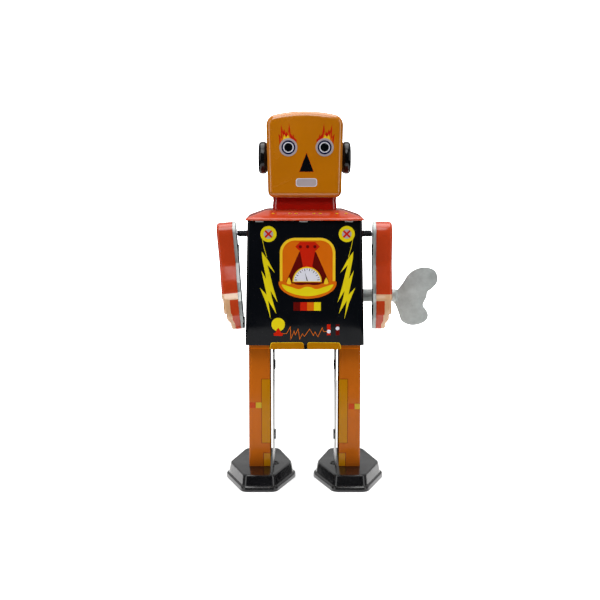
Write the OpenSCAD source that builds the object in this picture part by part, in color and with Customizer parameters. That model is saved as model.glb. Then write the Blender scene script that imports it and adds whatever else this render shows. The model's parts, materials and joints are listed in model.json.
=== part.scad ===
// Wind-up walking robot in printed tinplate, with the clockwork motor that drives it.
// X runs across the robot, -Y is the way it walks, and Z = 0 is the floor.

/* [Whole robot] */
// Height from the floor to the top of the head
robot_h = 120; // [119:0.5:122]
// Thickness of the tinplate
tin = 0.5; // [0.4:0.05:0.5]
// Radial clearance of a shaft in its hole
running_gap = 0.06; // [0.04:0.01:0.09]

/* [Head and shoulders] */
// Width of the head near its top
head_top_w = 24.4; // [23.5:0.1:25]
// Width of the head at its lower edge
head_bottom_w = 23.4; // [22.5:0.1:23.5]
// Depth of the head
head_d = 20; // [18:0.5:22]
// Diameter of an ear cap
ear_d = 10.4; // [9:0.1:11]
// Width of the neck
neck_w = 20.4; // [18:0.1:21]
// Depth of the neck
neck_d = 15; // [13:0.5:16]

/* [Body] */
// Width of the body at its top edge
body_top_w = 36.3; // [36:0.1:36.8]
// Width of the body at its lower edge
body_bottom_w = 38; // [37.6:0.1:38.6]
// Depth of the body
body_d = 28; // [27.6:0.1:29]
// Height of the body's lower edge above the floor
body_bottom_z = 45.9; // [45.6:0.1:46.2]
// Height of the body's top edge above the floor
body_top_z = 85.8; // [85:0.1:86.2]

/* [Arms] */
// Distance from the middle of the robot to an arm's outer face
arm_outer_x = 28.6; // [28.4:0.1:28.8]
// Thickness of an arm's outer shell
arm_shell_w = 5.3; // [5:0.1:5.5]
// Lean of the left hand towards the body
left_arm_lean = 5; // [3:0.5:6]
// Backward swing of the right arm as it stands
right_arm_back = 6; // [4:0.5:7]

/* [Legs and feet] */
// Width of a leg's front face
leg_w = 7.3; // [7:0.1:7.4]
// Depth of a leg
leg_d = 16; // [15:0.5:16.5]
// Distance from the middle of the robot to a leg's outer face
leg_outer_x = 18.1; // [17.9:0.05:18.2]
// Height of a foot
foot_h = 5.2; // [4.8:0.1:6]
// Width of a foot's top
foot_top_w = 20.8; // [20:0.1:22]
// Length of a foot's top
foot_top_l = 36.1; // [34:0.1:37]

/* [Key] */
// Outer diameter of the key's stem
key_stem_d = 4.3; // [4.1:0.1:4.6]
// Distance from the middle of the robot to the key's tip
key_tip_x = 44.5; // [43:0.5:46]
// Height of the key's axis above the floor
key_z = 59.7; // [59.4:0.1:60]
// Distance of the key's axis behind the middle of the body
key_y = 5.5; // [5.3:0.1:5.6]

/* [Clockwork motor] */
// Module of all the gears
gear_module = 0.4; // [0.39:0.005:0.4]
// Teeth on the great wheel
great_teeth = 34; // [34]
// Teeth on the crankshaft's pinion
crank_pinion_teeth = 12; // [12]
// Teeth on the crankshaft's wheel
crank_wheel_teeth = 30; // [30]
// Teeth on the governor's pinion
governor_teeth = 10; // [10]
// Distance of a crank pin from the crankshaft's axis
crank_throw = 1.7; // [1.5:0.05:1.8]
// Number of turns in the mainspring
spring_turns = 7; // [6:1:8]

/* [Hidden] */
$fn = 48;
slice = 0.02;      // a thin layer that a hull is stretched between
press = 0.02;      // radial gap of a wheel pressed on its shaft
corner_r = 1.2;    // corner radius of the folded body
left = -1;
right = 1;

// Shoulders, neck and head, stacked from the body's top edge
plate_rim_z = body_top_z - tin;
plate_top_z = body_top_z + 3;
neck_top_z = plate_top_z + 4.1;
head_bottom_z = neck_top_z - 0.1;
head_front_y = -11;
head_back_y = head_front_y + head_d;
head_mid_y = (head_front_y + head_back_y) / 2;
head_crown_r = 44;
head_corner_r = 2.8;
head_edge_r = 2;
ear_h = 2.8;
ear_z = head_bottom_z + 12.6;
shoulder_z = 80.8;
shoulder_shaft_r = 0.6;
arm_inner_x = arm_outer_x - arm_shell_w;
arm_plate_h = 1;
shoulder_head_r = 1.7;
coil_wire_r = 0.18;
coil_r = 0.96;
coil_turns = 7;

// Motor: shaft places in the YZ plane, worked out from the gears' centre distances
plate_x = 7.2;
plate_t = 0.8;
function on_circle(centre, r, a) = [centre[0] + r * cos(a), centre[1] + r * sin(a)];
function centre_distance(a, b) = gear_module * (a + b) / 2 + 0.04;
hip = [-2, 50];
arbor = [key_y, key_z];
great_crank = centre_distance(great_teeth, crank_pinion_teeth);
crank = [hip[0], key_z + sqrt(pow(great_crank, 2) - pow(key_y - hip[0], 2))];
crank_governor = centre_distance(crank_wheel_teeth, governor_teeth);
governor_angle = 120;
governor = on_circle(crank, crank_governor, governor_angle);
verge_angle = 28;
verge_at = on_circle(governor, 7.5, verge_angle);
great_outer_r = gear_module * (great_teeth / 2 + 1);
pillar_r = 0.9;
spring_pillar_angle = -50;
spring_pillar = on_circle(arbor, great_outer_r + pillar_r + 0.3, spring_pillar_angle);
pillars = [spring_pillar, [-9.5, 50], [-10.8, 77], [9.5, 75]];
great_x = 4.4;
crank_wheel_x = -6.6;
star_x = -3.8;
wheel_t = 1.2;
arbor_r = 1.3;
crank_r = 0.9;
governor_r = 0.7;
hip_r = 1;
disc_x = 8.4;
lever_x = 9.9;
ratchet_teeth = 12;
ratchet_r = 3.4;
ratchet_x = great_x + wheel_t + 0.2;
click_pivot_r = 5.3;
star_r = 3.6;

// Legs and feet
leg_inner_x = leg_outer_x - leg_w;
leg_front_y = -10;
leg_back_y = leg_front_y + leg_d;
leg_top_z = 52;
leg_mid_x = (leg_outer_x + leg_inner_x) / 2;
foot_front_w = 9.5;
foot_back_w = 11.5;
foot_front_y = -20.6;
foot_wide_y = -3;
foot_flange = 1.45;
claw_y = 9.5;
claw_z = 2.2;
claw_pin_r = 0.5;

// Key
key_stem_x = body_bottom_w / 2 + 0.3;
key_wing_x = arm_outer_x + 1.2;

// Click
great_to_crank = atan2(crank[1] - arbor[1], crank[0] - arbor[0]);
click_stud = on_circle(arbor, click_pivot_r, 40);

// The origin is under the middle of the whole robot's box
box_mid_x = (key_tip_x - arm_outer_x) / 2;
box_mid_y = (2 * foot_front_y + foot_top_l) / 2;

module in_frame() {
    translate([-box_mid_x, -box_mid_y, 0]) children();
}

// Lays a 2D drawing whose axes are Y and Z against the plane X = x, and thickens it towards +X
module on_side(x, thickness) {
    translate([x, 0, 0])
        rotate([90, 0, 90])
            linear_extrude(thickness) children();
}

// A round bar along X, between two X values, at a place [y, z]
module bar(at, r, from_x, to_x) {
    translate([from_x, at[0], at[1]])
        rotate([0, 90, 0]) cylinder(r = r, h = to_x - from_x);
}

module rounded_rect(w, d, r) {
    square([w - 2 * r, d], center = true);
    square([w, d - 2 * r], center = true);
    for (x = [r - w / 2, w / 2 - r], y = [r - d / 2, d / 2 - r])
        translate([x, y]) circle(r = r);
}

module layer(z, w, d, r) {
    translate([0, 0, z])
        linear_extrude(slice) rounded_rect(w, d, r);
}

// Mirrors a right-hand piece to the side that is asked for
module on(side) {
    mirror([side == left ? 1 : 0, 0, 0]) children();
}

// ---- Head ----

// Front view of the head: nearly straight sides under a shallow crown
module head_outline(inset) {
    head_h = robot_h - head_bottom_z;
    r = head_corner_r - inset;
    corner_x = head_top_w / 2 - inset - r;
    corner_z = head_h - 1.1 - inset - r;
    intersection() {
        polygon([[-head_bottom_w / 2 + inset, 0], [head_bottom_w / 2 - inset, 0],
            [head_top_w / 2 - inset, corner_z], [head_top_w / 2 - inset, head_h],
            [-head_top_w / 2 + inset, head_h], [-head_top_w / 2 + inset, corner_z]]);
        union() {
            translate([-corner_x, 0]) square([2 * corner_x, head_h]);
            translate([-head_top_w / 2, 0]) square([head_top_w, corner_z]);
            for (x = [-corner_x, corner_x])
                translate([x, corner_z]) circle(r = r);
        }
        translate([0, head_h - inset - head_crown_r]) circle(r = head_crown_r, $fn = 96);
    }
}

// The head as a solid block, shrunk all round by inset: its front, plan and side views intersected
module head_block(inset) {
    r = head_edge_r - inset;
    d = head_d - 2 * inset;
    intersection() {
        translate([0, head_back_y + 1, head_bottom_z])
            rotate([90, 0, 0]) linear_extrude(head_d + 2) head_outline(inset);
        translate([0, head_mid_y, 0])
            linear_extrude(2 * robot_h) rounded_rect(head_top_w - 2 * inset, d, r);
        on_side(-head_top_w, 2 * head_top_w)
            translate([head_mid_y, robot_h - inset - head_d]) rounded_rect(d, 2 * head_d, r);
    }
}

module head_half(from_y, to_y) {
    inner_w = head_bottom_w - 2 * tin - 1.4;
    difference() {
        intersection() {
            head_block(0);
            translate([-head_top_w, from_y, 0])
                cube([2 * head_top_w, to_y - from_y, 2 * robot_h]);
        }
        translate([0, 0, tin]) head_block(tin);
        translate([-inner_w / 2, head_front_y + 1.4, head_bottom_z - 1])
            cube([inner_w, head_d - 2.8, 3]);
        bar([head_mid_y, ear_z], 1.1, -head_top_w, head_top_w);
    }
}

module head_front() {
    color("darkorange") head_half(head_front_y - 1, head_mid_y - 0.03);
}

module head_back() {
    color("darkorange") head_half(head_mid_y + 0.03, head_back_y + 1);
}

// The plate inside the head that the neck's tabs fold over
module head_floor() {
    w = head_bottom_w - 2.6;
    color("silver")
        translate([0, head_mid_y, head_bottom_z + tin + 0.1])
            linear_extrude(tin)
                difference() {
                    rounded_rect(w, head_d - 3, 1);
                    for (x = [-1, 1] * neck_w * 0.3)
                        translate([x, 0]) square([3, 1.2], center = true);
                }
}

// A pressed cap with a stub that is closed over inside the head
module ear_cap(side) {
    r = ear_d / 2;
    face = head_bottom_w / 2 + (head_top_w - head_bottom_w) / 4 + 0.12;
    color("black")
        on(side)
            translate([face, head_mid_y, ear_z])
                rotate([0, 90, 0])
                    rotate_extrude()
                        polygon([[0, -1.4], [0.9, -1.4], [0.9, 0], [r, 0], [r, 1.5], [r - 0.3, 2.2],
                            [r - 0.9, ear_h - 0.2], [r - 1.6, ear_h], [r - 2.2, ear_h - 0.4],
                            [0, ear_h - 0.4]]);
}

module neck_collar() {
    h = neck_top_z - plate_top_z - 0.1;
    color("firebrick")
        translate([0, head_mid_y, plate_top_z])
            difference() {
                linear_extrude(h) rounded_rect(neck_w, neck_d, 2);
                translate([0, 0, -1])
                    linear_extrude(h + 2) rounded_rect(neck_w - 2 * tin, neck_d - 2 * tin, 1.5);
            }
}

// ---- Body ----

// A shallow hipped lid over the body
module plate_block(inset) {
    hull() {
        layer(plate_rim_z, body_top_w + 1.2 - 2 * inset, body_d + 1.2 - 2 * inset, 1.4);
        layer(plate_rim_z + 0.9 - inset / 2, body_top_w + 1.2 - 2 * inset, body_d + 1.2 - 2 * inset, 1.4);
        layer(plate_rim_z + 2.2 - inset, body_top_w - 1 - 2 * inset, body_d - 1 - 2 * inset, 1.4);
        layer(plate_top_z - slice - inset, body_top_w - 12, body_d - 9, 1.4);
    }
}

module shoulder_plate() {
    color("orangered")
        difference() {
            plate_block(0);
            translate([0, 0, -slice]) plate_block(tin);
            for (x = [-1, 1] * neck_w * 0.3)
                translate([x, head_mid_y, plate_top_z])
                    cube([3, 1.2, 4], center = true);
        }
}

// The tapered body as a solid, shrunk by inset and overrun at its top and bottom by over
module body_block(inset, over) {
    slope = (body_bottom_w - body_top_w) / (body_top_z - body_bottom_z);
    hull() {
        layer(body_bottom_z - over, body_bottom_w + slope * over - 2 * inset, body_d - 2 * inset,
              corner_r - inset / 2);
        layer(body_top_z + over - slice, body_top_w - slope * over - 2 * inset, body_d - 2 * inset,
              corner_r - inset / 2);
    }
}

// The printed front and sides, folded round to narrow returns at the back
module body_front() {
    window_w = body_top_w - 5;
    lip_w = 22.6;
    color([0.06, 0.07, 0.1])
        difference() {
            union() {
                difference() {
                    body_block(0, 0);
                    body_block(tin, 1);
                }
                // a short lip between the legs
                translate([-lip_w / 2, -body_d / 2, body_bottom_z - 1.3])
                    cube([lip_w, tin, 2]);
            }
            translate([-window_w / 2, body_d / 2 - 2 * tin, body_bottom_z - 1])
                cube([window_w, 4 * tin, body_top_z]);
            bar([0, shoulder_z], shoulder_shaft_r + running_gap, -body_bottom_w, body_bottom_w);
            bar(arbor, arbor_r + 0.3, 0, body_bottom_w);
            // notch in the middle of the lip
            translate([0, 0, body_bottom_z - 1.4])
                cube([1, 3 * body_d, 1], center = true);
        }
}

// The back panel, held behind the returns of the front
module body_back() {
    w = body_top_w - 2 * tin - 1.6;
    color([0.06, 0.07, 0.1])
        translate([-w / 2, body_d / 2 - 2 * tin - 0.03, body_bottom_z + 0.1])
            cube([w, tin, body_top_z - body_bottom_z - 0.2]);
}

// The floor of the body, cut away where the legs swing
module hip_plate() {
    slot_x = leg_inner_x - 1.45;
    color("goldenrod")
        translate([0, 0, body_bottom_z])
            linear_extrude(tin)
                difference() {
                    translate([0, -tin / 2])
                        rounded_rect(body_bottom_w - 1.4, body_d - 3 * tin - 0.2, 1);
                    for (side = [left, right])
                        translate([side > 0 ? slot_x : -slot_x - body_bottom_w, leg_front_y - 1.2])
                            square([body_bottom_w, leg_d + 2.4]);
                }
}

// ---- Motor frame ----

module motor_plate(side) {
    z0 = body_bottom_z + tin + 0.02;
    color("silver")
        difference() {
            on_side(side > 0 ? plate_x : -plate_x - plate_t, plate_t)
                difference() {
                    translate([-12.6, z0]) square([24.6, 79 - z0]);
                    // lightening windows
                    translate([5.8, 67.6]) square([4.4, 4.6]);
                    translate([-10.5, 56]) square([4, 6]);
                }
            bar(arbor, arbor_r + running_gap, -20, 20);
            bar(crank, crank_r + running_gap, -20, 20);
            bar(governor, governor_r + running_gap, -20, 20);
            bar(hip, hip_r + press, -20, 20);
            bar(verge_at, 0.6 + press, -20, 20);
            for (at = pillars)
                bar(at, 0.5 + press, -20, 20);
        }
}

// Four pillars with shouldered ends that are riveted through the plates
module motor_pillars() {
    color("goldenrod")
        for (at = pillars) {
            bar(at, pillar_r, -plate_x, plate_x);
            bar(at, 0.5, -plate_x - plate_t - 0.05, plate_x + plate_t + 0.05);
            bar(at, 0.85, -plate_x - plate_t - 0.3, -plate_x - plate_t - 0.03);
            bar(at, 0.85, plate_x + plate_t + 0.03, plate_x + plate_t + 0.3);
        }
}

// The coiled strip, hooked round the spring pillar at its outer end
module mainspring() {
    inner_r = 2.3;
    outer_r = great_outer_r;
    strip = 0.26;
    spring_x = -5.2;
    spring_w = 8.8;
    steps = 24 * spring_turns;
    start = spring_pillar_angle + 15 - 360 * spring_turns;
    function coil_point(i, off) = on_circle(arbor,
        inner_r + (outer_r - inner_r) * i / steps + off, start + 360 * spring_turns * i / steps);
    color("slategray")
        difference() {
            union() {
                on_side(spring_x, spring_w)
                    polygon(concat([for (i = [0:steps]) coil_point(i, -strip / 2)],
                        [for (i = [steps:-1:0]) coil_point(i, strip / 2)]));
                bar(spring_pillar, pillar_r + 0.5, spring_x, spring_x + spring_w);
            }
            bar(spring_pillar, pillar_r + 0.05, -20, 20);
        }
}

module hip_shaft() {
    color("silver") bar(hip, hip_r, -lever_x - 1.8, lever_x + 1.8);
}

// Tubes that hold the legs off the motor's plates
module hip_spacers() {
    color("goldenrod")
        for (side = [left, right])
            on(side)
                difference() {
                    bar(hip, 1.7, plate_x + plate_t + 0.02, lever_x - 0.05);
                    bar(hip, hip_r + press, 0, 20);
                }
}

// Push-on clips that keep the legs on the hip shaft
module hip_clips() {
    color("dimgray")
        for (side = [left, right])
            on(side)
                difference() {
                    bar(hip, 2, lever_x + tin + 0.1, lever_x + tin + 0.7);
                    bar(hip, hip_r + press, 0, 20);
                }
}

// ---- Arms ----

// Side view of an arm, with the shoulder at the origin: bent at the elbow, with a mitten hand
module arm_outline() {
    offset(1) offset(-1)
        union() {
            circle(r = 4.1);
            polygon([[-4.1, 0], [-3.9, -9.4], [-6.6, -15.6], [-6.9, -18.6], [-8.6, -21.4], [-8.8, -26.6],
                [-6.6, -31], [-3.4, -31.6], [-0.6, -27], [0, -21.6], [0.1, -17.6], [3.6, -9.8], [4.1, 0]]);
        }
}

// Leans and swings an arm about its shoulder, and bores it for the shaft
module placed_arm(side) {
    lean = side == left ? left_arm_lean : 0;
    back = side == left ? 0 : right_arm_back;
    difference() {
        on(side)
            translate([0, 0, shoulder_z])
                rotate([back, 0, 0])
                    translate([arm_inner_x, 0, 0])
                        rotate([0, lean, 0])
                            translate([-arm_inner_x, 0, 0]) children();
        bar([0, shoulder_z], shoulder_shaft_r + running_gap, -arm_inner_x - 2, arm_inner_x + 2);
    }
}

module arm_shell(side) {
    color("orangered")
        placed_arm(side)
            difference() {
                on_side(arm_inner_x, arm_shell_w) arm_outline();
                on_side(arm_inner_x - tin, arm_shell_w) offset(delta = -tin) arm_outline();
            }
}

// The shallow tray that closes the arm on the body's side
module arm_plate(side) {
    color("gainsboro")
        placed_arm(side)
            difference() {
                on_side(arm_inner_x - arm_plate_h, arm_plate_h - 0.03) offset(delta = -0.35) arm_outline();
                on_side(arm_inner_x - arm_plate_h + tin, arm_plate_h)
                    offset(delta = -0.35 - tin) arm_outline();
            }
}

// A fixed wire across the shoulders that both arms turn on
module shoulder_shaft() {
    color("silver")
        bar([0, shoulder_z], shoulder_shaft_r, -arm_inner_x - 1.4, arm_inner_x + 1.4);
}

// Riveted washers that keep the arms on the wire
module shoulder_heads() {
    color("dimgray")
        for (side = [left, right])
            on(side)
                difference() {
                    bar([0, shoulder_z], shoulder_head_r, arm_inner_x + 0.35, arm_inner_x + 1);
                    bar([0, shoulder_z], shoulder_shaft_r + press, 0, 30);
                }
}

// A wire coil along X between two X values, swept as rings round a helix
module wire_coil(from_x, to_x) {
    sides = 8;
    rings = 14 * coil_turns;
    function ring(i) = let (a = 360 * coil_turns * i / rings)
        [for (j = [0:sides - 1]) let (b = 360 * j / sides, r = coil_r + coil_wire_r * cos(b))
            [from_x + coil_wire_r + (to_x - from_x - 2 * coil_wire_r) * i / rings + coil_wire_r * sin(b),
            r * cos(a), shoulder_z + r * sin(a)]];
    polyhedron(
        points = [for (i = [0:rings]) each ring(i)],
        faces = concat(
            [for (i = [0:rings - 1], j = [0:sides - 1])
                [i * sides + j, i * sides + (j + 1) % sides,
                 (i + 1) * sides + (j + 1) % sides, (i + 1) * sides + j]],
            [[for (j = [sides - 1:-1:0]) j], [for (j = [0:sides - 1]) rings * sides + j]]));
}

// The spring that presses an arm outwards against its washer
module shoulder_spring(side) {
    color("dimgray")
        on(side) wire_coil(body_top_w / 2 + 0.25, arm_inner_x - arm_plate_h - 0.12);
}

// ---- Legs and feet ----

// A folded channel that is open on the inner side, with tabs that fold over the inner plate
module leg_shell(side) {
    tab_h = 3.1;
    color("chocolate")
        on(side)
            difference() {
                union() {
                    difference() {
                        translate([leg_mid_x, (leg_front_y + leg_back_y) / 2, foot_h + 0.02])
                            linear_extrude(leg_top_z - foot_h - 0.02) rounded_rect(leg_w, leg_d, 0.7);
                        translate([leg_inner_x - 1, leg_front_y + tin, 0])
                            cube([leg_w + 1 - tin, leg_d - 2 * tin, robot_h]);
                    }
                    for (z = [14.2, 37.3]) {
                        translate([lever_x - 0.55, leg_front_y, z])
                            cube([leg_inner_x - lever_x + 1.4, tin, tab_h]);
                        translate([lever_x - 0.55, leg_front_y, z])
                            cube([tin, 2, tab_h]);
                    }
                }
                bar(hip, 2.4, leg_outer_x - 2, leg_outer_x + 1);
            }
}

// The flat inner plate, whose upper end is the slotted lever that the crank pin works in
module leg_plate(side) {
    lever_half_w = 2.2;
    slot_half_w = 0.72;
    front = leg_front_y + tin + 0.05;
    back = leg_back_y - tin - 0.05;
    color("gainsboro")
        on(side)
            difference() {
                on_side(lever_x, tin)
                    difference() {
                        polygon([[front, foot_h + 0.02], [back, foot_h + 0.02], [back, 43], [back - 0.9, 44],
                            [hip[0] + 3, hip[1]], [hip[0] + lever_half_w, crank[1] + 3.4],
                            [hip[0] - lever_half_w, crank[1] + 3.4], [hip[0] - 3, hip[1]],
                            [front + 0.9, 44], [front, 43]]);
                        translate([hip[0] - slot_half_w, crank[1] - crank_throw - 0.9])
                            square([2 * slot_half_w, 2 * crank_throw + 1.8]);
                    }
                bar(hip, hip_r + running_gap, 0, 20);
            }
}

// Plan of the foot's top, grown by grow
module foot_plan(grow) {
    offset(delta = grow)
        offset(1.2) offset(-1.2)
            polygon([[-foot_front_w / 2, foot_front_y], [foot_front_w / 2, foot_front_y],
                [foot_top_w / 2, foot_wide_y], [foot_back_w / 2, foot_front_y + foot_top_l],
                [-foot_back_w / 2, foot_front_y + foot_top_l], [-foot_top_w / 2, foot_wide_y]]);
}

module foot_layer(z, grow) {
    translate([leg_mid_x, 0, z]) linear_extrude(slice) foot_plan(grow);
}

// The pressed foot: a sloping upper tier on a rolled flange
module foot_shell(side) {
    flange_z = 2;
    color("black")
        on(side)
            difference() {
                union() {
                    hull() {
                        foot_layer(foot_h - slice, -0.6);
                        foot_layer(foot_h - 0.4, -0.1);
                        foot_layer(flange_z, 0.5);
                    }
                    hull() {
                        foot_layer(flange_z, 1);
                        foot_layer(1.4, foot_flange);
                        foot_layer(0.1, foot_flange);
                    }
                }
                hull() {
                    foot_layer(foot_h - tin - slice, -0.9);
                    foot_layer(flange_z - tin, 0);
                }
                hull() {
                    foot_layer(flange_z - tin, 0.6);
                    foot_layer(-0.1, foot_flange - tin);
                }
            }
}

// The flat sole, with a window for the claw
module foot_sole(side) {
    color("silver")
        on(side)
            difference() {
                translate([leg_mid_x, 0, 0]) linear_extrude(tin) foot_plan(foot_flange - tin - 0.25);
                translate([leg_mid_x - 2.2, claw_y - 6, -1]) cube([4.4, 9, 3]);
            }
}

// Pin across the foot that the claw hangs on, in two ears of the sole
module claw_pin(side) {
    color("silver")
        on(side)
            union() {
                bar([claw_y, claw_z], claw_pin_r, leg_mid_x - 3.4, leg_mid_x + 3.4);
                for (x = [leg_mid_x - 3.2, leg_mid_x + 2.6])
                    translate([x, claw_y - 1, tin + 0.02]) cube([0.6, 2, claw_z - tin + 0.3]);
            }
}

// The hinged claw that grips the floor as the foot is driven back, and drags as it comes forward
module foot_claw(side) {
    color("dimgray")
        on(side)
            difference() {
                on_side(leg_mid_x - 1.8, 3.6)
                    union() {
                        translate([claw_y, claw_z]) circle(r = 1.1);
                        polygon([[claw_y, claw_z + 0.6], [claw_y - 5, 0.7], [claw_y - 5.2, 0.15],
                            [claw_y - 4.4, 0.15], [claw_y, claw_z - 0.9]]);
                    }
                bar([claw_y, claw_z], claw_pin_r + running_gap, 0, 40);
            }
}

// ---- Gears and shafts ----

function involute(base_r, r) = let (t = sqrt(max(0, pow(r / base_r, 2) - 1))) t * 180 / PI - atan(t);

// Spur gear drawn with involute flanks; a tooth points along its first axis
module gear_outline(teeth) {
    pitch_r = gear_module * teeth / 2;
    base_r = pitch_r * cos(20);
    outer_r = pitch_r + 0.9 * gear_module;
    root_r = pitch_r - 1.25 * gear_module;
    start_r = max(base_r, root_r);
    // half the tooth's angle at the pitch circle, thinned for backlash
    half = 90 / teeth - 1.6 / teeth + involute(base_r, pitch_r);
    function flank(k) = let (r = start_r + (outer_r - start_r) * k / 3) [r, half - involute(base_r, r)];
    polygon([for (i = [0:teeth - 1], p = concat(
        [[root_r, -half], [flank(0)[0], -flank(0)[1]]],
        [for (k = [1:3]) [flank(k)[0], -flank(k)[1]]],
        [for (k = [3:-1:0]) flank(k)],
        [[root_r, half]]))
        let (a = 360 * i / teeth + p[1]) [p[0] * cos(a), p[0] * sin(a)]]);
}

// A gear on a shaft at a place [y, z], turned by angle, with a bore
module gear(teeth, at, angle, x, thickness, bore_r) {
    difference() {
        on_side(x, thickness)
            translate(at) rotate(angle) gear_outline(teeth);
        bar(at, bore_r, x - 1, x + thickness + 1);
    }
}

module winding_arbor() {
    square_w = 1.8;
    color("silver")
        union() {
            bar(arbor, arbor_r, -plate_x - plate_t - 0.5, key_stem_x - 0.1);
            // the hub inside the mainspring
            bar(arbor, 1.9, -4.9, 3.3);
            translate([key_stem_x - 0.2, arbor[0] - square_w / 2, arbor[1] - square_w / 2])
                cube([8, square_w, square_w]);
        }
}

// Saw-toothed wheel fixed to the arbor
module ratchet_wheel() {
    root_r = 2.6;
    color("goldenrod")
        difference() {
            on_side(ratchet_x, 1)
                translate(arbor)
                    polygon([for (i = [0:ratchet_teeth - 1], p = [[ratchet_r, 0], [root_r, 0]])
                        let (a = 360 * i / ratchet_teeth + p[1]) [p[0] * cos(a), p[0] * sin(a)]]);
            bar(arbor, arbor_r + press, 0, 10);
        }
}

module great_wheel() {
    color("goldenrod")
        difference() {
            gear(great_teeth, arbor, great_to_crank, great_x, wheel_t, arbor_r + running_gap);
            bar(click_stud, 0.5 + press, 0, 10);
        }
}

// Stud in the great wheel that the click turns on
module click_pin() {
    color("silver")
        union() {
            bar(click_stud, 0.5, great_x + 0.1, ratchet_x + 1.2);
            bar(click_stud, 0.8, ratchet_x + 1.03, ratchet_x + 1.3);
        }
}

// The pawl that lets the arbor turn one way inside the great wheel
module click() {
    color("dimgray")
        difference() {
            on_side(ratchet_x + 0.02, 0.9)
                hull() {
                    translate(click_stud) circle(r = 0.9);
                    translate(on_circle(arbor, ratchet_r + 0.15, 76)) circle(r = 0.3);
                }
            bar(click_stud, 0.5 + running_gap, 0, 12);
        }
}

// Wire leaf fixed to the great wheel that presses on the back of the click
module click_spring() {
    color("slategray")
        on_side(great_x + wheel_t + 0.02, 1)
            translate(arbor)
                difference() {
                    intersection() {
                        circle(r = 6);
                        polygon([[0, 0], [7 * cos(62), 7 * sin(62)], [7 * cos(95), 7 * sin(95)],
                            [7 * cos(125), 7 * sin(125)]]);
                    }
                    circle(r = 5.75);
                }
}

module crank_shaft() {
    color("silver") bar(crank, crank_r, -disc_x - 0.8, disc_x + 0.8);
}

module crank_pinion() {
    color("goldenrod")
        gear(crank_pinion_teeth, crank, great_to_crank + 180 + 180 / crank_pinion_teeth,
            great_x - 0.3, wheel_t + 0.6, crank_r + press);
}

module crank_wheel() {
    color("goldenrod")
        gear(crank_wheel_teeth, crank, governor_angle, crank_wheel_x, wheel_t - 0.2, crank_r + press);
}

// Disc with the pin that works in the leg's lever; the two sides are half a turn apart
module crank_disc(side) {
    pin_at = [crank[0], crank[1] + side * crank_throw];
    color("dimgray")
        on(side)
            difference() {
                union() {
                    bar(crank, 3, disc_x, disc_x + 0.8);
                    bar(pin_at, 0.6, disc_x + 0.7, lever_x - 0.2);
                }
                bar(crank, crank_r + press, disc_x - 1, disc_x + 0.9);
            }
}

module governor_shaft() {
    color("silver") bar(governor, governor_r, -plate_x - plate_t - 0.3, plate_x + plate_t + 0.3);
}

module governor_pinion() {
    color("goldenrod")
        gear(governor_teeth, governor, governor_angle + 180 + 180 / governor_teeth,
            crank_wheel_x - 0.2, wheel_t + 0.2, governor_r + press);
}

// The last wheel, whose points kick the verge from side to side
module star_wheel() {
    points = 12;
    color("goldenrod")
        difference() {
            on_side(star_x, 1)
                translate(governor)
                    polygon([for (i = [0:2 * points - 1])
                        let (a = 180 * i / points, r = i % 2 == 0 ? star_r : 2.3) [r * cos(a), r * sin(a)]]);
            bar(governor, governor_r + press, -10, 10);
        }
}

// The rocking weight that times the motor
module verge() {
    tip_gap = 0.55;
    color("silver")
        difference() {
            on_side(star_x + 0.05, 0.9)
                union() {
                    for (a = [-55, 55])
                        hull() {
                            translate(verge_at) circle(r = 1.3);
                            translate(on_circle(governor, star_r + tip_gap, verge_angle + a)) circle(r = 0.35);
                        }
                    translate(on_circle(verge_at, 2.6, verge_angle)) circle(r = 2.4);
                }
            bar(verge_at, 0.6 + running_gap, -10, 10);
        }
}

module verge_pin() {
    color("silver") bar(verge_at, 0.6, -plate_x - plate_t - 0.2, plate_x + plate_t + 0.2);
}

// ---- Key ----

// Wing of the key in the XZ plane, with X from its neck and Z from its axis
module key_wing_outline() {
    offset(-1.2) offset(2.4) offset(-1.2)
        union() {
            polygon([[-1, -1.9], [1, -2.2], [4.4, -4.4], [9.4, -3], [9.4, 2], [4.4, 3.6], [1, 2.2], [-1, 1.9]]);
            translate([8.6, 6]) scale([1, 0.78]) circle(r = 4.6);
            translate([6.4, -6]) scale([1, 0.78]) circle(r = 4.7);
        }
}

module winding_key() {
    wing_t = 1;
    wing_end = key_tip_x - key_wing_x - 13.2;
    color("silver")
        difference() {
            union() {
                bar(arbor, key_stem_d / 2, key_stem_x, key_wing_x + 0.8);
                translate([key_wing_x + wing_end, arbor[0] + wing_t / 2, arbor[1]])
                    rotate([90, 0, 0])
                        linear_extrude(wing_t) key_wing_outline();
            }
            translate([key_stem_x - 1, arbor[0] - 0.95, arbor[1] - 0.95])
                cube([9.5, 1.9, 1.9]);
        }
}

in_frame() head_front();
in_frame() head_back();
in_frame() head_floor();
in_frame() ear_cap(left);  // ear_cap_left
in_frame() ear_cap(right);  // ear_cap_right
in_frame() neck_collar();
in_frame() shoulder_plate();
in_frame() body_front();
in_frame() body_back();
in_frame() hip_plate();
in_frame() motor_plate(left);  // motor_plate_left
in_frame() motor_plate(right);  // motor_plate_right
in_frame() motor_pillars();
in_frame() mainspring();
in_frame() hip_shaft();
in_frame() hip_spacers();
in_frame() hip_clips();
in_frame() shoulder_shaft();
in_frame() shoulder_heads();
in_frame() shoulder_spring(left);  // shoulder_spring_left
in_frame() shoulder_spring(right);  // shoulder_spring_right
in_frame() arm_shell(left);  // arm_shell_left
in_frame() arm_plate(left);  // arm_plate_left
in_frame() arm_shell(right);  // arm_shell_right
in_frame() arm_plate(right);  // arm_plate_right
in_frame() leg_shell(left);  // leg_shell_left
in_frame() leg_plate(left);  // leg_plate_left
in_frame() foot_shell(left);  // foot_shell_left
in_frame() foot_sole(left);  // foot_sole_left
in_frame() foot_claw(left);  // foot_claw_left
in_frame() claw_pin(left);  // claw_pin_left
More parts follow.
